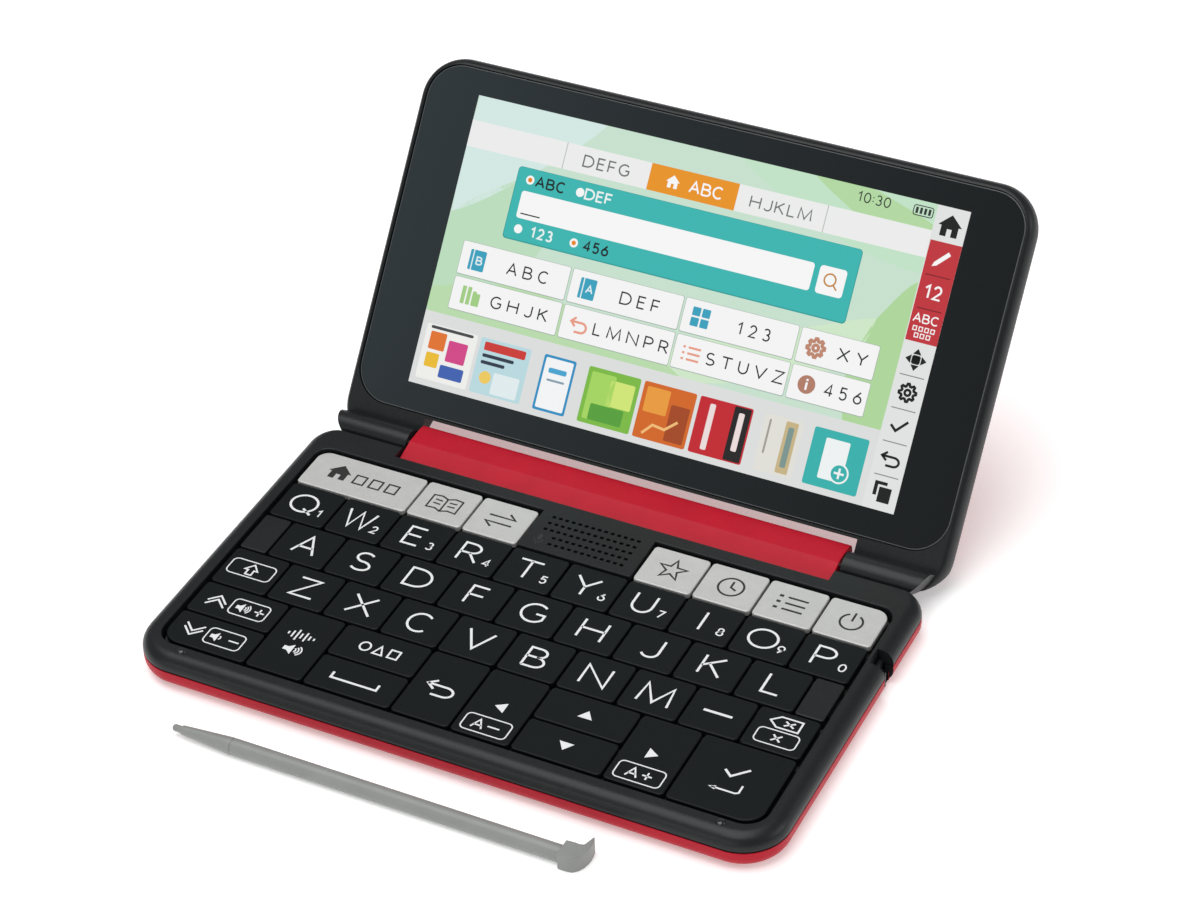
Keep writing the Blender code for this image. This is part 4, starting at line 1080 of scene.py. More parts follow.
class Drawing:
    """Thin raised shapes on a flat surface: filled outlines and lines, each a closed solid."""

    def __init__(self, base, raised=0.04):
        self.shape = bmesh.new()
        self.base = base
        self.level = base + raised
        self.slot = 1
        self.tint = None
        self.layer = self.shape.loops.layers.float_color.new("tint")

    def face(self, corners):
        made = self.shape.faces.new(corners)
        made.material_index = self.slot
        if self.tint:
            for loop in made.loops:
                loop[self.layer] = self.tint

    def fill(self, points):
        """A filled outline."""
        low = [self.shape.verts.new((x, y, self.base)) for x, y in points]
        high = [self.shape.verts.new((x, y, self.level)) for x, y in points]
        self.face(high)
        self.face(low[::-1])
        for index in range(len(points)):
            after = (index + 1) % len(points)
            self.face((low[index], low[after], high[after], high[index]))

    def line(self, points, width):
        """A line of even width, closed where its ends meet."""
        closed = len(points) > 2 and (Vector(points[0]) - Vector(points[-1])).length < 0.02
        points = [Vector(point) for point in (points[:-1] if closed else points)]
        left, right = self.borders(points, width / 2, closed)
        columns = []
        for side, height in ((left, self.base), (right, self.base), (right, self.level), (left, self.level)):
            columns.append([self.shape.verts.new((*point, height)) for point in side])
        count = len(points)
        for index in range(count if closed else count - 1):
            after = (index + 1) % count
            for side in range(4):
                beside = columns[(side + 1) % 4]
                one = columns[side]
                self.face((one[index], one[after], beside[after], beside[index]))
        if not closed:
            self.face([column[0] for column in columns])
            self.face([column[-1] for column in reversed(columns)])

    def borders(self, points, half, closed):
        """Both borders of a line, mitred at its corners and cut short where they are acute."""
        left = []
        right = []
        count = len(points)
        for index, point in enumerate(points):
            before = points[index - 1] if closed or index else None
            after = points[(index + 1) % count] if closed or index < count - 1 else None
            ways = []
            if before is not None:
                ways.append((point - before).normalized())
            if after is not None:
                ways.append((after - point).normalized())
            sides = [Vector((-way.y, way.x)) for way in ways]
            middle = sum(sides, Vector((0, 0)))
            middle = middle.normalized() if middle.length > 0.01 else sides[0]
            reach = half * min(1 / max(middle.dot(sides[0]), 0.1), 2.0)
            left.append(point + middle * reach)
            right.append(point - middle * reach)
        return left, right

    def points_of(self, items, place):
        """Turns a stroke's points and arcs into points on the surface, each place named once."""
        points = self.traced(items, place)
        return [
            point
            for index, point in enumerate(points)
            if not index or (Vector(point) - Vector(points[index - 1])).length > 0.03
        ]

    def traced(self, items, place):
        x, y, width, height = place
        points = []
        for item in items:
            if len(item) == 2:
                points.append((x + item[0] * width, y + item[1] * height))
                continue
            centre_x, centre_y, radius_x, radius_y, start, end = item
            steps = max(4, round(abs(end - start) / 15))
            for step in range(steps + 1):
                turn = math.radians(start + (end - start) * step / steps)
                across = centre_x + radius_x * math.cos(turn)
                up = centre_y + radius_y * math.sin(turn)
                points.append((x + across * width, y + up * height))
        return points

    def icon(self, name, centre_x, centre_y, width, height, stroke=0.4):
        fills, lines = ICONS[name]
        place = (centre_x - width / 2, centre_y - height / 2, width, height)
        for outline in fills:
            self.fill(self.points_of(outline, place))
        for line in lines:
            self.line(self.points_of(line, place), stroke)

    def write(self, text, centre_x, centre_y, size, stroke, spacing=0.3):
        """A row of letters or digits about a centre."""
        widths = [GLYPHS[letter][0] * size if letter in GLYPHS else 0.3 * size for letter in text]
        x = centre_x - (sum(widths) + spacing * size * (len(text) - 1)) / 2
        for letter, width in zip(text, widths):
            if letter in GLYPHS:
                for line in GLYPHS[letter][1]:
                    place = (x, centre_y - size / 2, width, size)
                    self.line(self.points_of(line, place), stroke)
            x += width + spacing * size

    def round_box(self, centre_x, centre_y, width, height, radius):
        """Points of a rounded box, with its first point repeated at the end."""
        low = (centre_x - width / 2, centre_y - height / 2)
        high = (centre_x + width / 2, centre_y + height / 2)
        ring = plan_ring(low, high, [radius] * 4, 0, 0, 0, 5)
        return [point[:2] for point in [*ring, ring[0]]]

    def frame(self, centre_x, centre_y, width, height, radius, stroke):
        self.line(self.round_box(centre_x, centre_y, width, height, radius), stroke)

    def panel(self, left, top, right, bottom, radius=0.0):
        """A filled box between its left, top, right and bottom edges."""
        middle = ((left + right) / 2, (top + bottom) / 2)
        self.fill(self.round_box(*middle, right - left, top - bottom, max(radius, TINY))[:-1])

    def finished(self):
        bmesh.ops.recalc_face_normals(self.shape, faces=self.shape.faces)
        return self.shape


# Keys
KEY_RADII = {
    "home": (0.6, 0.6, 0.6, 3.0),
    "power": (0.6, 0.6, 3.0, 0.6),
    "page_down": (4.0, 0.6, 0.6, 0.6),
    "enter": (0.6, 4.6, 0.6, 0.6),
}
SILVER_KEYS = ("home", "book", "translate", "star", "history", "list", "power")
KEY_MARKS = {
    "home": (("house", -6.2, 0.6, 5.9, 5.0, 0.4), ("squares", 3.6, -0.2, 11.0, 3.6, 0.45)),
    "book": (("open_book", 0, 0, 7.4, 5.8, 0.42),),
    "translate": (("swap", 0, 0, 7.2, 5.6, 0.55),),
    "star": (("star", 0, 0, 6.8, 6.8, 0.5),),
    "history": (("clock", 0, 0, 5.8, 5.8, 0.5),),
    "list": (("list", 0, 0, 6.8, 5.2, 0.55),),
    "power": (("power", 0, 0.2, 5.5, 5.5, 0.5),),
    "shift": (("frame", 0, 0.4, 10.9, 5.0, 1.2), ("shift", 0, 0.4, 3.2, 3.4, 0.4)),
    "dash": (("dash", 0, 0, 6.6, 1, 0.66),),
    "delete": (
        ("erase", 0, 2.8, 6.8, 3.3, 0.42),
        ("frame", 0, -2.0, 9.3, 4.4, 1.1),
        ("cross", 0, -2.0, 2.5, 2.3, 0.4),
    ),
    "page_up": (
        ("chevrons_up", -5.0, 0, 4.6, 3.6, 0.44),
        ("frame", 3.0, 0, 8.9, 5.0, 1.1),
        ("loud", 1.4, 0, 3.4, 3.0, 0.3),
        ("plus", 5.5, 0, 2.3, 2.3, 0.4),
    ),
    "page_down": (
        ("chevrons_down", -5.0, 0, 4.6, 3.6, 0.44),
        ("frame", 3.0, 0, 8.9, 5.0, 1.1),
        ("quiet", 1.2, 0, 3.4, 3.0, 0.3),
        ("dash", 5.3, 0, 2.5, 1, 0.4),
    ),
    "voice": (("waves", 0, 2.5, 6.2, 3.4, 0.4), ("loud", 0.3, -2.1, 4.3, 3.3, 0.34)),
    "symbol": (("shapes", 0, 0, 9.4, 3.0, 0.42),),
    "space": (("gap", 0, -0.2, 11.0, 1.8, 0.55),),
    "back": (("return", 0, 0, 6.6, 5.0, 0.55),),
    "left": (
        ("triangle_left", 0, 0, 2.5, 3.1, 0.4),
        ("frame", 0, -6.4, 10.6, 5.0, 1.1),
        ("A-", 0, -6.4, 2.7, 0, 0.4),
    ),
    "right": (
        ("triangle_right", 0, 0, 2.5, 3.1, 0.4),
        ("frame", 0, -6.4, 10.6, 5.0, 1.1),
        ("A+", 0, -6.4, 2.7, 0, 0.4),
    ),
    "up": (("triangle_up", 0, 0, 3.4, 2.4, 0.4),),
    "down": (("triangle_down", 0, 0, 3.4, 2.4, 0.4),),
    "enter": (("tick", 0.2, 2.2, 5.0, 3.8, 0.55), ("enter", -0.2, -2.7, 6.8, 3.4, 0.44)),
}


def draw_mark(drawing, mark, x, y):
    name, across, up, width, height, stroke = mark
    x += across
    y += up
    if name == "frame":
        drawing.frame(x, y, width, height, stroke, 0.3)
    elif name in ("dash", "plus"):
        drawing.line([(x - width / 2, y), (x + width / 2, y)], stroke)
        if name == "plus":
            drawing.line([(x, y - height / 2), (x, y + height / 2)], stroke)
    elif name in ICONS:
        drawing.icon(name, x, y, width, height, stroke)
    else:
        drawing.write(name, x, y, width, stroke, 0.35)


def draw_letter(drawing, name, x, y):
    letter = name.upper()
    top_row = "QWERTYUIOP"
    if letter in top_row:
        digit = "1234567890"[top_row.index(letter)]
        drawing.write(letter, x - 0.9, y + 0.1, 5.85, 0.56)
        drawing.write(digit, x + 4.0, y - 1.75, 2.2, 0.36)
    else:
        drawing.write(letter, x, y + (0.3 if letter in "ASDFGHJKL" else 0.0), 5.85, 0.56)


def dress_key(name):
    """A cap with a rolled edge and a faintly sunk top, its stem, and its legend in raised ink."""
    low, high = cad_box(f"key_{name}")
    radii = KEY_RADII.get(name, (0.6, 0.6, 0.6, 0.6))
    drawing = Drawing(KEY_TOP - 0.06)
    levels = [(0.12, 0.12, CAP_BOTTOM), (0, 0, CAP_BOTTOM + 0.12), (0, 0, KEY_TOP - 0.3)]
    levels += rounded_top(0.3, 0.3, KEY_TOP, steps=4)[1:]
    levels.append((0.9 if min(radii) < 1 else 1.2, 0.9, KEY_TOP - 0.04))
    segments = 10 if max(radii) > 1 else 5
    add_block(drawing.shape, low, high, radii_for(radii), levels, segments)
    middle = (low + high) / 2
    stem_low = (middle.x - 1.2, middle.y - 1.2)
    stem_high = (middle.x + 1.2, middle.y + 1.2)
    add_block(
        drawing.shape, stem_low, stem_high, [0.3] * 4, [(0, 0, low.z), (0, 0, CAP_BOTTOM + 0.4)], 2
    )
    if name in KEY_MARKS:
        for mark in KEY_MARKS[name]:
            draw_mark(drawing, mark, middle.x, middle.y)
    else:
        draw_letter(drawing, name, middle.x, middle.y)
    silver = name in SILVER_KEYS
    finishes = [KEY_SILVER, BLACK_INK] if silver else [KEY_BLACK, WHITE_INK]
    key = object_of(f"cap_{name}", drawing.finished())
    finish_piece(key, f"key_{name}_body", finishes, [f"key_{name}"])


def radii_for(radii):
    return [max(radius, 0.95) for radius in radii]


def dress_panel_mark():
    """The microphone mark printed beside the shorter rows of slots."""
    drawing = Drawing(CASE_TOP - 0.02)
    drawing.slot = 0
    drawing.icon("microphone", -10.3, 21.7, 2.3, 3.6, 0.3)
    finish_piece(object_of("panel_mark", drawing.finished()), "base", [BLACK_INK])


# Hinge
def dress_hinge_bar():
    """The red bar: a rolled nose in the rim's seat, a ridge, and a barrel that falls to the back."""
    outline = [
        (35.15, 6.3),
        (35.15, 6.5),
        (35.3, 6.85),
        (35.7, 7.15),
        (36.3, 7.36),
        (37.2, 7.6),
        (38.4, 7.92),
        (39.6, 8.22),
        (40.6, 8.5),
        (41.2, 8.72),
        (41.5, 8.8),
        (41.8, 8.78),
        (43.4, 8.82),
        (45.4, 8.86),
        (47.0, 8.8),
        (48.0, 8.55),
        (48.7, 8.05),
        (49.1, 7.3),
        (49.25, 6.4),
        (49.25, 4.4),
        (49.0, 2.9),
        (48.3, 1.6),
        (47.2, 0.7),
        (45.8, 0.15),
        (44.6, 0.05),
        (39.85, 0.05),
        (39.85, 6.3),
    ]
    bar = object_of("red_hinge_bar", prism(outline, BAR_LOW.x, BAR_HIGH.x))
    soften(bar, 0.35, bar_end_edges, 3)
    bore = turned([(0, -70), (1.5, -69.9), (1.5, 69.9), (0, 70)], 32)
    bmesh.ops.translate(bore, verts=bore.verts, vec=(0, HINGE_Y, HINGE_Z))
    carve(bar, [bore])
    finish_piece(bar, "base", [RED], ["hinge_bar"])


def bar_end_edges(first, second):
    at_end = abs(abs(first.x) - BAR_HIGH.x) < 0.05 and abs(first.x - second.x) < 0.05
    return 1.0 if at_end else 0.0


# Lid
def back_tangent():
    """Angle of the line that touches the knuckle's circle and the heel's circle on the lid's back."""
    span = HEEL_CENTRE - HINGE_CENTRE
    lean = math.acos((KNUCKLE_RADIUS - HEEL_RADIUS) / span.length)
    return math.atan2(span.y, span.x) - lean


def lid_profile():
    """All that lies outside the lid's side profile."""
    fill = Vector((SLOT_EDGE_Y + 3.0, LID_RIM))
    span = HINGE_CENTRE - fill
    lean = math.asin(KNUCKLE_RADIUS / span.length)
    front = math.atan2(span.y, span.x) - lean - math.pi / 2
    nose = arc(HINGE_CENTRE, KNUCKLE_RADIUS, front, back_tangent(), 36)
    heel = arc(HEEL_CENTRE, HEEL_RADIUS, back_tangent(), math.pi / 2, 16)
    last = Vector(heel[-1])
    crest = last + OVERRUN * (last - Vector(heel[-2])).normalized()
    before = CASE_FRONT - OVERRUN
    beyond = LID_END + OVERRUN
    above = LID_BACK + OVERRUN
    start = [(before, -OVERRUN), (before, LID_RIM), tuple(fill)]
    return [*start, *nose, *heel, tuple(crest), (crest.x, above), (beyond, above), (beyond, -OVERRUN)]


def lid_slot():
    """What the middle of the lid loses: all behind its slot edge and beyond its full round heel."""
    start = back_tangent() * 15 / 16
    outward = Vector((math.cos(start), math.sin(start)))
    above = HEEL_CENTRE + (HEEL_RADIUS + OVERRUN) * outward
    heel = arc(HEEL_CENTRE, HEEL_RADIUS, start, 0, 15)
    beyond = LID_END + 2 * OVERRUN
    low = -2 * OVERRUN
    return [tuple(above), *heel, (SLOT_EDGE_Y, low), (beyond, low), (beyond, above.y)]


def lid_tools():
    reach = HALF_WIDTH + OVERRUN
    return [prism(lid_profile(), -reach, reach), prism(lid_slot(), -SLOT_SIDE, SLOT_SIDE)]


def lid_block(levels):
    low = (-HALF_WIDTH, CASE_FRONT)
    return block(low, (HALF_WIDTH, LID_END), [PLAN_RADIUS] * 4, levels, 16)


def back_levels(bottom):
    return [(0, 0, bottom), (0, 0, LID_BACK - 4.3), *rounded_top(4.3, 4.3, LID_BACK, steps=10)[1:]]


def pillow_levels():
    """Levels of the lid's front edge, which rolls over from the glass to the skin."""
    levels = [(1.75, 0, 0.0), (1.75, 0, LID_RIM)]
    for step in range(1, 11):
        turn = math.pi / 2 * step / 10
        levels.append((1.75 * (1 - math.sin(turn)), 0, LID_RIM + 3.6 * (1 - math.cos(turn))))
    return levels + back_levels(0)[2:]


def pocket_edges(first, second):
    """The edges of the glass's pocket and of the slot are broken a little."""
    on_rim = max(abs(first.z - LID_RIM), abs(second.z - LID_RIM)) < 0.02
    return 1.0 if on_rim and max(abs(first.x), abs(second.x)) < HALF_WIDTH - 1.74 else 0.0


def dress_lid_frame():
    """The black front of the lid: the pillow rim, the pocket for the glass and both knuckles."""
    lid = object_of("lid_front_frame", lid_block(pillow_levels()))
    carve(lid, lid_tools())
    reach = HALF_WIDTH + OVERRUN
    behind = box((-reach, CASE_FRONT - OVERRUN, FRAME_BACK), (reach, 52, LID_BACK + OVERRUN))
    pocket = block(
        (-GLASS_SIDE - 0.14, GLASS_TOP - 0.14),
        (GLASS_SIDE + 0.14, GLASS_BOTTOM + 0.14),
        [GLASS_RADIUS + 0.14] * 4,
        [(0, 0, 0), (0, 0, 11.3)],
        16,
    )
    window = box((-64.0, -42.1, 5), (64.0, 32.6, LID_BACK + OVERRUN))
    carve(lid, [behind, pocket, window])
    soften(lid, 0.12, pocket_edges, 2)
    bores = []
    for side in (-1, 1):
        ends = sorted((side * 54.1, side * 63.9))
        bore = turned([(0, ends[0]), (1.5, ends[0] + TINY), (1.5, ends[1] - TINY), (0, ends[1])], 32)
        bmesh.ops.translate(bore, verts=bore.verts, vec=(0, HINGE_Y, HINGE_Z))
        bores.append(bore)
    carve(lid, bores)
    finish_piece(lid, "lid", [BLACK], ["lid_frame"], LID_OPEN)


def dress_lid_cover():
    """The red back of the lid, a shallow dish with a broad rolled edge."""
    cover = object_of("lid_rear_cover", lid_block(back_levels(LID_RIM)))
    reach = HALF_WIDTH + OVERRUN
    carve(cover, lid_tools())
    before = box((-reach, CASE_FRONT - OVERRUN, -OVERRUN), (reach, 52, COVER_FRONT))
    dish = box((-69.3, -39.95, -OVERRUN), (69.3, 30.05, LID_BACK - 1.2))
    carve(cover, [before, dish])
    finish_piece(cover, "lid", [RED], ["lid_back_cover"], LID_OPEN)


def dress_glass():
    """The panel's glass, with a ground edge that catches the light."""
    levels = [(0.3, 0.3, GLASS_FRONT), (0.08, 0.08, GLASS_FRONT + 0.14), (0, 0, GLASS_FRONT + 0.35)]
    levels.append((0, 0, GLASS_BACK))
    glass = block(
        (-GLASS_SIDE, GLASS_TOP), (GLASS_SIDE, GLASS_BOTTOM), [GLASS_RADIUS] * 4, levels, 16
    )
    item = object_of("screen_glass", glass)
    for face in item.data.polygons:
        face.material_index = 1 if 0.2 < -face.normal.z < 0.98 else 0
    finish_piece(item, "lid", [GLASS, GLASS_EDGE], ["touch_panel"], LID_OPEN)


# Screen picture, in millimetres across and up from the middle of the glass, seen from its front
SCREEN_LEFT = -61.35
SCREEN_RIGHT = 60.95
SCREEN_TOP = 37.65
SCREEN_BOTTOM = -31.1
STRIP_LEFT = 53.3
PICTURE_SHIFT = (0.2, -1.46)


class Picture(Drawing):
    """A drawing whose shapes have their own colours and lie in layers."""

    def __init__(self):
        super().__init__(0.0)
        self.slot = 0

    def use(self, code, layer):
        self.tint = colour_of(code)
        self.level = 0.012 + 0.012 * layer


def draw_background(picture):
    """Pale green ground that fades to the left, with broad lighter and darker waves."""
    picture.use("cfe9d6", 0)
    picture.panel(SCREEN_LEFT, SCREEN_TOP, STRIP_LEFT, SCREEN_BOTTOM)
    for code, layer, points in (
        ("dcf1ec", 1, [(-61, 37.7), (-28, 37.7), (-44, 22), (-61, 10)]),
        ("c2e5c4", 1, [(-61, 10), (-44, 22), (-36, 8), (-44, -6), (-61, -13.8)]),
        ("c9ebcf", 1, [(6, 37.7), (20, 30), (36, 24), (53.2, 22), (53.2, 37.7)]),
        ("b9e0a8", 2, [(24, 37.7), (34, 32), (44, 28), (53.2, 26), (53.2, 33), (44, 36), (38, 37.7)]),
        ("b4dea0", 2, [(53.2, 20), (46, 10), (42, -2), (44, -13.8), (53.2, -13.8)]),
        ("d6f0cf", 2, [(-8, -13.8), (8, -4), (30, 4), (46, 10), (42, -2), (24, -10), (10, -13.8)]),
        ("bfe3b2", 3, [(-61, -13.8), (-61, -8), (-40, -3), (-18, -6), (4, -13.8)]),
    ):
        picture.use(code, layer)
        picture.fill(smooth(points))


def smooth(points, steps=5):
    """A closed outline through these points with its corners drawn into curves."""
    corners = [Vector(point) for point in points]
    count = len(corners)
    outline = []
    for index in range(count):
        one, two = corners[index], corners[(index + 1) % count]
        before, after = corners[index - 1], corners[(index + 2) % count]
        for step in range(steps):
            t = step / steps
            place = one + (two - one) * t
            bend = t * (1 - t) * 0.35
            place += bend * ((one - before) * (1 - t) - (after - two) * t) * 0.5
            x = min(max(place.x, SCREEN_LEFT), STRIP_LEFT)
            y = min(max(place.y, SCREEN_BOTTOM), SCREEN_TOP)
            outline.append((x, y))
    return [point for index, point in enumerate(outline) if point != outline[index - 1]]


def draw_tabs(picture):
    """The status line's clock and battery, and the row of tabs with the lit one."""
    picture.use("2a3230", 5)
    picture.write("10:30", 38.6, 35.4, 2.1, 0.28, 0.3)
    picture.frame(50.3, 35.4, 4.6, 2.2, 0.5, 0.22)
    for bar in range(4):
        picture.panel(48.5 + bar * 1.0, 36.1, 49.1 + bar * 1.0, 34.7)
    picture.use("f4f5f4", 4)
    picture.panel(SCREEN_LEFT, 31.8, STRIP_LEFT, 25.6)
    picture.use("f0981d", 5)
    picture.panel(-15.0, 31.8, 6.9, 25.6)
    picture.use("b9bdbb", 5)
    for x in (-36.6, 28.5):
        picture.panel(x, 31.8, x + 0.2, 25.6)
    picture.use("ffffff", 6)
    picture.icon("house", -9.0, 28.7, 3.4, 3.0)
    picture.write("ABC", -0.6, 28.6, 2.5, 0.42, 0.3)
    picture.use("6c7270", 6)
    picture.write("DEFG", -25.8, 28.6, 2.5, 0.36, 0.45)
    picture.write("HJKLM", 17.8, 28.6, 2.5, 0.32, 0.4)


def draw_search(picture):
    """The teal search panel: a white field with its cursor, a button and two rows of choices."""
    picture.use("2ba39f", 4)
    picture.panel(-47.0, 24.0, 39.1, 6.9, 0.9)
    picture.use("3abbb7", 5)
    picture.panel(-46.8, 23.9, 38.9, 7.2, 0.8)
    picture.use("ffffff", 6)
    picture.panel(-44.8, 18.6, 28.9, 12.2, 0.7)
    picture.panel(30.3, 18.6, 36.8, 12.2, 0.8)
    for x, y in ((-43.5, 21.3), (-30.6, 21.3), (-43.5, 9.7), (-29.1, 9.7)):
        picture.fill(circle(x, y, 1.05))
    picture.use("ef8a1d", 7)
    picture.fill(circle(-43.5, 21.3, 0.55))
    picture.fill(circle(-29.1, 9.7, 0.55))
    picture.use("c9893f", 7)
    picture.icon("magnifier", 33.5, 15.4, 3.4, 3.4, 0.38)
    picture.use("16201f", 7)
    picture.panel(-43.9, 13.5, -38.9, 13.2)
    picture.write("ABC", -38.2, 21.3, 2.2, 0.42, 0.35)
    picture.write("456", -23.4, 9.7, 2.2, 0.42, 0.4)
    picture.use("f3fbfa", 7)
    picture.write("DEF", -25.9, 21.3, 2.2, 0.42, 0.35)
    picture.write("123", -37.4, 9.7, 2.2, 0.42, 0.4)


def circle(x, y, radius, sides=20):
    turns = [2 * math.pi * side / sides for side in range(sides)]
    return [(x + radius * math.cos(t), y + radius * math.sin(t)) for t in turns]


def draw_buttons(picture):
    """Four columns and two rows of white buttons, each with a small coloured sign."""
    columns = ((-56.0, -28.2), (-27.4, 0.5), (1.2, 29.0), (29.8, 48.4))
    rows = ((4.1, -3.6), (-4.4, -12.0))
    labels = (("A B C", "D E F", "1 2 3", "X Y"), ("G H J K", "L M N P R", "S T U V Z", "4 5 6"))
    for (top, bottom), row_labels in zip(rows, labels):
        for (left, right), label in zip(columns, row_labels):
            picture.use("a9b8ae", 4)
            picture.panel(left - 0.12, top + 0.1, right + 0.15, bottom - 0.2, 0.5)
            picture.use("fdfdfd", 5)
            picture.panel(left, top, right, bottom, 0.4)
            picture.use("252a29", 6)
            narrow = right - left < 20
            middle = right - (5.6 if narrow else 10.2)
            picture.write(label, middle, (top + bottom) / 2, 2.6, 0.36, 0.2)
    draw_button_signs(picture)


def draw_button_signs(picture):
    upper, lower = 0.2, -8.2
    for x in (-51.7, -23.1):
        picture.use("37a6c4", 6)
        picture.panel(x - 2.0, upper + 2.4, x + 2.1, upper - 2.4, 0.3)
        picture.use("e8f6fa", 7)
        picture.panel(x - 1.3, upper + 2.4, x - 1.0, upper - 2.4)
        picture.write("A" if x > -40 else "B", x + 0.6, upper, 1.7, 0.34)
    picture.use("37a6c4", 6)
    for x, y in ((4.3, 1.3), (6.7, 1.3), (4.3, -1.1), (6.7, -1.1)):
        picture.panel(x - 1.0, upper + y + 1.0, x + 1.0, upper + y - 1.0, 0.2)
    picture.use("c48a72", 6)
    picture.icon("gear", 33.9, upper, 4.2, 4.2, 0.75)
    picture.use("a6d488", 6)
    for x, height in ((-53.0, 4.2), (-51.6, 4.2), (-50.2, 3.4), (-49.2, 3.0)):
        picture.panel(x - 0.5, lower - 2.1 + height, x + 0.5, lower - 2.1, 0.15)
    picture.use("f0a088", 6)
    picture.icon("return", -23.0, lower, 4.0, 3.8, 0.55)
    picture.icon("list", 5.4, lower, 4.4, 3.6, 0.5)
    picture.use("b8806c", 6)
    picture.fill(circle(33.9, lower, 2.1, 28))
    picture.use("ffffff", 7)
    picture.panel(33.65, lower + 0.5, 34.15, lower - 1.2)
    picture.panel(33.65, lower + 1.3, 34.15, lower + 0.8)


def draw_shelf(picture):
    """The pale shelf with its eight tiles, all of plain shapes."""
    picture.use("e4e6e5", 4)
    picture.panel(SCREEN_LEFT, -13.8, STRIP_LEFT, SCREEN_BOTTOM)
    top, bottom = -16.6, -29.6
    tiles = (
        ("f7f7f4", -60.0, -46.7),
        ("bfe1e8", -45.8, -32.7),
        ("2b93c8", -29.3, -21.1),
        ("7fbf45", -17.8, -4.6),
        ("d9691f", -3.7, 9.4),
        ("c8202c", 10.3, 23.4),
        ("e9e7e0", 26.4, 35.7),
        ("35b6b2", 38.4, 51.5),
    )
    for code, left, right in tiles:
        picture.use(code, 5)
        picture.panel(left, top, right, bottom, 0.5)
    draw_tile_shapes(picture)


def draw_tile_shapes(picture):
    for code, layer, box_ in (
        ("e8762c", 6, (-58.6, -18.2, -54.4, -22.4)),
        ("f2c230", 6, (-58.6, -23.2, -55.2, -26.6)),
        ("d8468c", 6, (-53.6, -19.4, -48.6, -24.4)),
        ("3f63b5", 6, (-54.4, -25.4, -48.2, -28.4)),
        ("45474a", 6, (-58.9, -16.9, -47.8, -17.6)),
        ("d23a34", 6, (-44.6, -17.4, -33.9, -19.4)),
        ("2d3a4a", 6, (-44.6, -20.2, -36.4, -21.0)),
        ("2d3a4a", 6, (-44.6, -21.8, -38.4, -22.6)),
        ("e8f4f6", 6, (-40.6, -24.0, -33.9, -29.0)),
        ("fbfdfe", 6, (-28.7, -17.2, -21.7, -29.0)),
        ("46a9d6", 7, (-27.5, -19.4, -22.9, -20.6)),
        ("8aa2b4", 7, (-27.5, -22.0, -22.9, -22.5)),
        ("a9dc62", 6, (-16.8, -17.6, -10.6, -28.6)),
        ("d8ee7a", 6, (-11.8, -18.6, -5.6, -24.6)),
        ("57a53a", 7, (-15.4, -24.8, -7.0, -28.6)),
        ("f0a03c", 6, (-2.7, -17.6, 3.1, -23.4)),
        ("a8481a", 6, (3.9, -20.4, 8.6, -28.8)),
        ("1c1a1c", 6, (18.9, -16.9, 23.0, -29.3)),
        ("f4e4e4", 7, (13.0, -17.8, 14.4, -28.4)),
        ("f4e4e4", 7, (20.2, -18.2, 21.6, -27.0)),
        ("cdb98a", 6, (31.6, -17.2, 34.6, -29.0)),
        ("7f9a95", 7, (32.4, -18.4, 33.8, -27.6)),
        ("a7a49c", 6, (27.6, -17.6, 28.1, -25.6)),
        ("f6fbfb", 6, (41.6, -18.4, 47.4, -27.6)),
    ):
        picture.use(code, layer)
        picture.panel(*box_, 0.35)
    picture.use("f6d060", 6)
    picture.fill(circle(-42.6, -25.6, 1.5))
    picture.use("f9c27a", 7)
    picture.line([(-1.6, -28.4), (0.6, -26.0), (3.6, -26.4), (6.4, -24.0)], 0.6)
    picture.use("f6fbfb", 7)
    picture.fill(circle(46.4, -25.6, 2.3, 28))
    picture.use("35b6b2", 8)
    picture.fill(circle(46.4, -25.6, 1.9, 28))
    picture.use("f6fbfb", 9)
    picture.panel(45.2, -25.35, 47.6, -25.85)
    picture.panel(46.15, -24.4, 46.65, -26.8)


def draw_strip(picture):
    """The strip of signs down the right side, its upper part red."""
    middle = (STRIP_LEFT + SCREEN_RIGHT) / 2
    picture.use("e9ebea", 4)
    picture.panel(STRIP_LEFT, SCREEN_TOP, SCREEN_RIGHT, SCREEN_BOTTOM)
    picture.use("c5313a", 5)
    picture.panel(STRIP_LEFT + 0.2, 29.8, SCREEN_RIGHT, 7.1)
    picture.use("7d1a22", 6)
    for y in (22.3, 14.7):
        picture.panel(STRIP_LEFT + 1.0, y, SCREEN_RIGHT - 0.8, y - 0.25)
    picture.use("8c9190", 6)
    for y in (-0.4, -8.0, -15.6, -23.2):
        picture.panel(STRIP_LEFT + 1.0, y, SCREEN_RIGHT - 0.9, y - 0.25)
    picture.use("0d0f0f", 7)
    picture.icon("house", middle, 33.6, 5.6, 4.9)
    picture.icon("arrows", middle, 3.2, 5.0, 5.0, 1.6)
    picture.icon("gear", middle, -4.3, 4.0, 4.0, 0.6)
    picture.icon("tick", middle, -11.9, 3.8, 3.0, 0.6)
    picture.icon("return", middle, -19.4, 4.2, 3.4, 0.55)
    picture.icon("pages", middle, -27.0, 4.2, 4.6)
    picture.use("ffffff", 7)
    picture.icon("pen", middle, 26.0, 3.8, 3.8)
    picture.write("12", middle, 18.5, 2.8, 0.45, 0.3)
    picture.write("ABC", middle, 12.4, 1.8, 0.3, 0.3)
    picture.icon("keypad", middle, 9.3, 5.0, 3.0, 0.22)


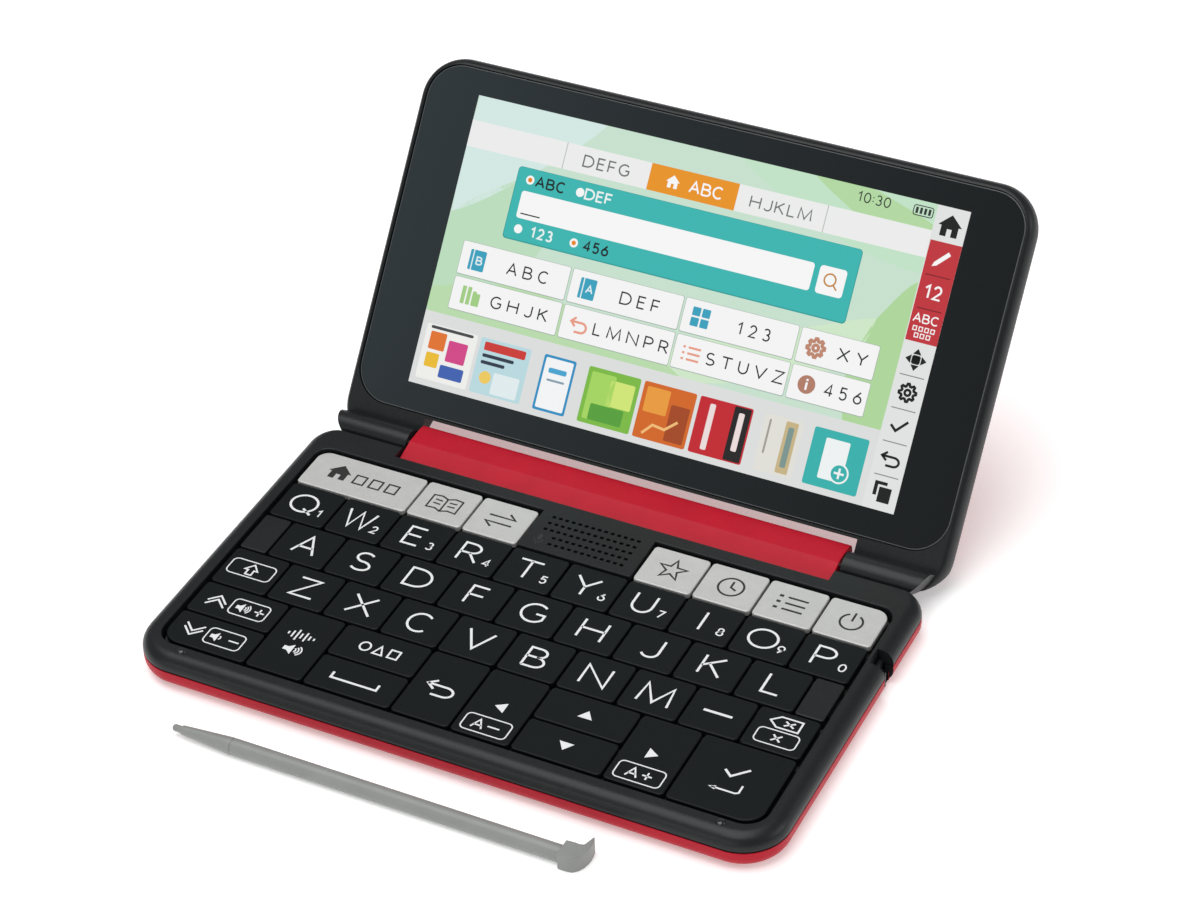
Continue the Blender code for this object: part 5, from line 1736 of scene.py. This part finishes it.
def dress_screen():
    """The lit picture on the glass, flat shapes in thin layers."""
    picture = Picture()
    draw_background(picture)
    draw_tabs(picture)
    draw_search(picture)
    draw_buttons(picture)
    draw_shelf(picture)
    draw_strip(picture)
    front = Matrix.Translation((*PICTURE_SHIFT, GLASS_FRONT)) @ Matrix.Rotation(math.pi, 4, "X")
    item = object_of("screen_picture", picture.finished())
    finish_piece(item, "lid", [SCREEN], (), LID_OPEN @ front)


# Stylus
def dress_stylus():
    """The grey stylus: nib, collar, cone, groove, shaft and its hooked head."""
    tip = STYLUS_LOW.x
    middle = Vector((0, -58.15, 1.9))
    profile = [
        (0, 0),
        (0.42, 0.06),
        (0.68, 0.26),
        (0.8, 0.6),
        (0.8, 2.25),
        (0.92, 2.3),
        (1.02, 2.36),
        (1.06, 2.5),
        (1.45, 8.0),
        (1.84, 13.6),
        (1.9, 14.3),
        (1.88, 14.62),
        (1.72, 14.74),
        (1.70, 14.98),
        (1.86, 15.12),
        (1.9, 15.3),
        (1.9, 92.6),
        (1.78, 93.1),
        (0, 93.2),
    ]
    shaft = turned(profile)
    stylus = object_of("grey_stylus", shaft)
    stylus.data.transform(Matrix.Translation((tip, middle.y, middle.z)))
    head = object_of("head", stylus_head(tip + 92.7, middle))
    soften(head, 0.45, lambda first, second: 1.0, 4)
    carve(stylus, [head], "UNION")
    finish_piece(stylus, "stylus", [GREY], ["stylus"])


def stylus_head(start, middle):
    """The hooked head: a flat block with a fin that points to the back."""
    outline = (
        (0.0, 0.0),
        (0.4, 0.0),
        (0.62, 0.03),
        (0.80, 0.14),
        (0.92, 0.3),
        (0.99, 0.49),
        (1.0, 0.64),
        (0.98, 0.8),
        (0.91, 0.99),
        (0.86, 0.92),
        (0.80, 0.77),
        (0.72, 0.62),
        (0.55, 0.59),
        (0.37, 0.60),
        (0.0, 0.58),
    )
    shape = bmesh.new()
    layers = []
    for height in (0.0, 4.3):
        points = [(start + x * 5.4, middle.y - 2.55 + y * 7.8, height) for x, y in outline]
        layers.append(points)
    add_stack(shape, layers)
    bmesh.ops.recalc_face_normals(shape, faces=shape.faces)
    return shape


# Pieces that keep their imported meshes
def finish_inner_parts():
    for node, finish in (
        ("key_mat", RUBBER),
        ("main_board", BOARD),
        ("battery_pack", BATTERY),
        ("speaker", SPEAKER),
        ("hinge_shaft", STEEL),
        ("display_module", PANEL_BACK),
    ):
        for slot in frame["nodes"][node].material_slots:
            slot.material = finish


# Studio
def soft_light(name, place, target, size, power):
    lamp = bpy.data.lights.new(name, "AREA")
    lamp.shape = "RECTANGLE"
    lamp.size = size[0]
    lamp.size_y = size[1]
    lamp.energy = power
    item = bpy.data.objects.new(name, lamp)
    bpy.context.scene.collection.objects.link(item)
    item.location = place
    item.rotation_euler = (Vector(target) - Vector(place)).to_track_quat("-Z", "Y").to_euler()


def build_studio():
    """A plain pale floor, an even pale surround and three soft lights."""
    glow = {"Emission Color": (1, 1, 1, 1), "Emission Strength": 0.3}
    finish = Finish("pale_floor", {"Roughness": 0.9, "Specular IOR Level": 0.1, **glow})
    cloud = finish.noise(finish.millimetres(), 0.004, 2.0)
    finish.vary(base_color=finish.mix(cloud, (0.93, 0.93, 0.93, 1), (0.95, 0.95, 0.95, 1)))
    shape = bmesh.new()
    places = [(-FLOOR_REACH, -FLOOR_REACH), (FLOOR_REACH, -FLOOR_REACH)]
    places += [(FLOOR_REACH, FLOOR_REACH), (-FLOOR_REACH, FLOOR_REACH)]
    corners = [shape.verts.new((x, y, -FLOOR_DROP)) for x, y in places]
    shape.faces.new(corners)
    floor = object_of("studio_floor", shape)
    floor.data.transform(Matrix.Scale(0.001, 4))
    floor.data.materials.append(finish.material)
    world = bpy.data.worlds.new("studio")
    world.use_nodes = True
    world.node_tree.nodes["Background"].inputs["Color"].default_value = (1, 1, 1, 1)
    world.node_tree.nodes["Background"].inputs["Strength"].default_value = 0.28
    bpy.context.scene.world = world
    soft_light("overhead", (-0.15, -0.1, 1.1), (0, 0, 0), (1.2, 0.9), 11.5)
    soft_light("right_back", (1.1, 0.35, 0.5), (0, 0, 0.02), (0.7, 0.6), 3.0)
    soft_light("front", (-0.25, -1.1, 0.42), (0, 0, 0.02), (1.1, 0.35), 2.2)
    bpy.context.scene.view_settings.view_transform = "Standard"


def set_camera():
    """The photograph's viewpoint."""
    forward = Vector((-0.36388, 0.69625, -0.61873)).normalized()
    right = Vector((0.89755, 0.43968, -0.03308)).normalized()
    up = right.cross(forward)
    lens = bpy.data.cameras.new("camera")
    lens.lens = 101.074
    lens.sensor_width = 36.0
    lens.sensor_fit = "HORIZONTAL"
    lens.clip_end = 20.0
    camera = bpy.data.objects.new("camera", lens)
    bpy.context.scene.collection.objects.link(camera)
    turn = Matrix((right, up, -forward)).transposed().to_4x4()
    camera.matrix_world = Matrix.Translation(Vector((0.27046, -0.48418, 0.48881))) @ turn
    bpy.context.scene.camera = camera


def dress():
    set_camera()
    build_studio()
    dress_rim_case()
    dress_tray_case()
    bore_shelf()
    dress_underside()
    dress_bumpers()
    dress_panel_mark()
    for node in sorted(frame["nodes"]):
        if node.startswith("key_") and node != "key_mat":
            dress_key(node[4:])
    dress_hinge_bar()
    dress_lid_frame()
    dress_lid_cover()
    dress_glass()
    dress_screen()
    dress_stylus()
    finish_inner_parts()


dress()
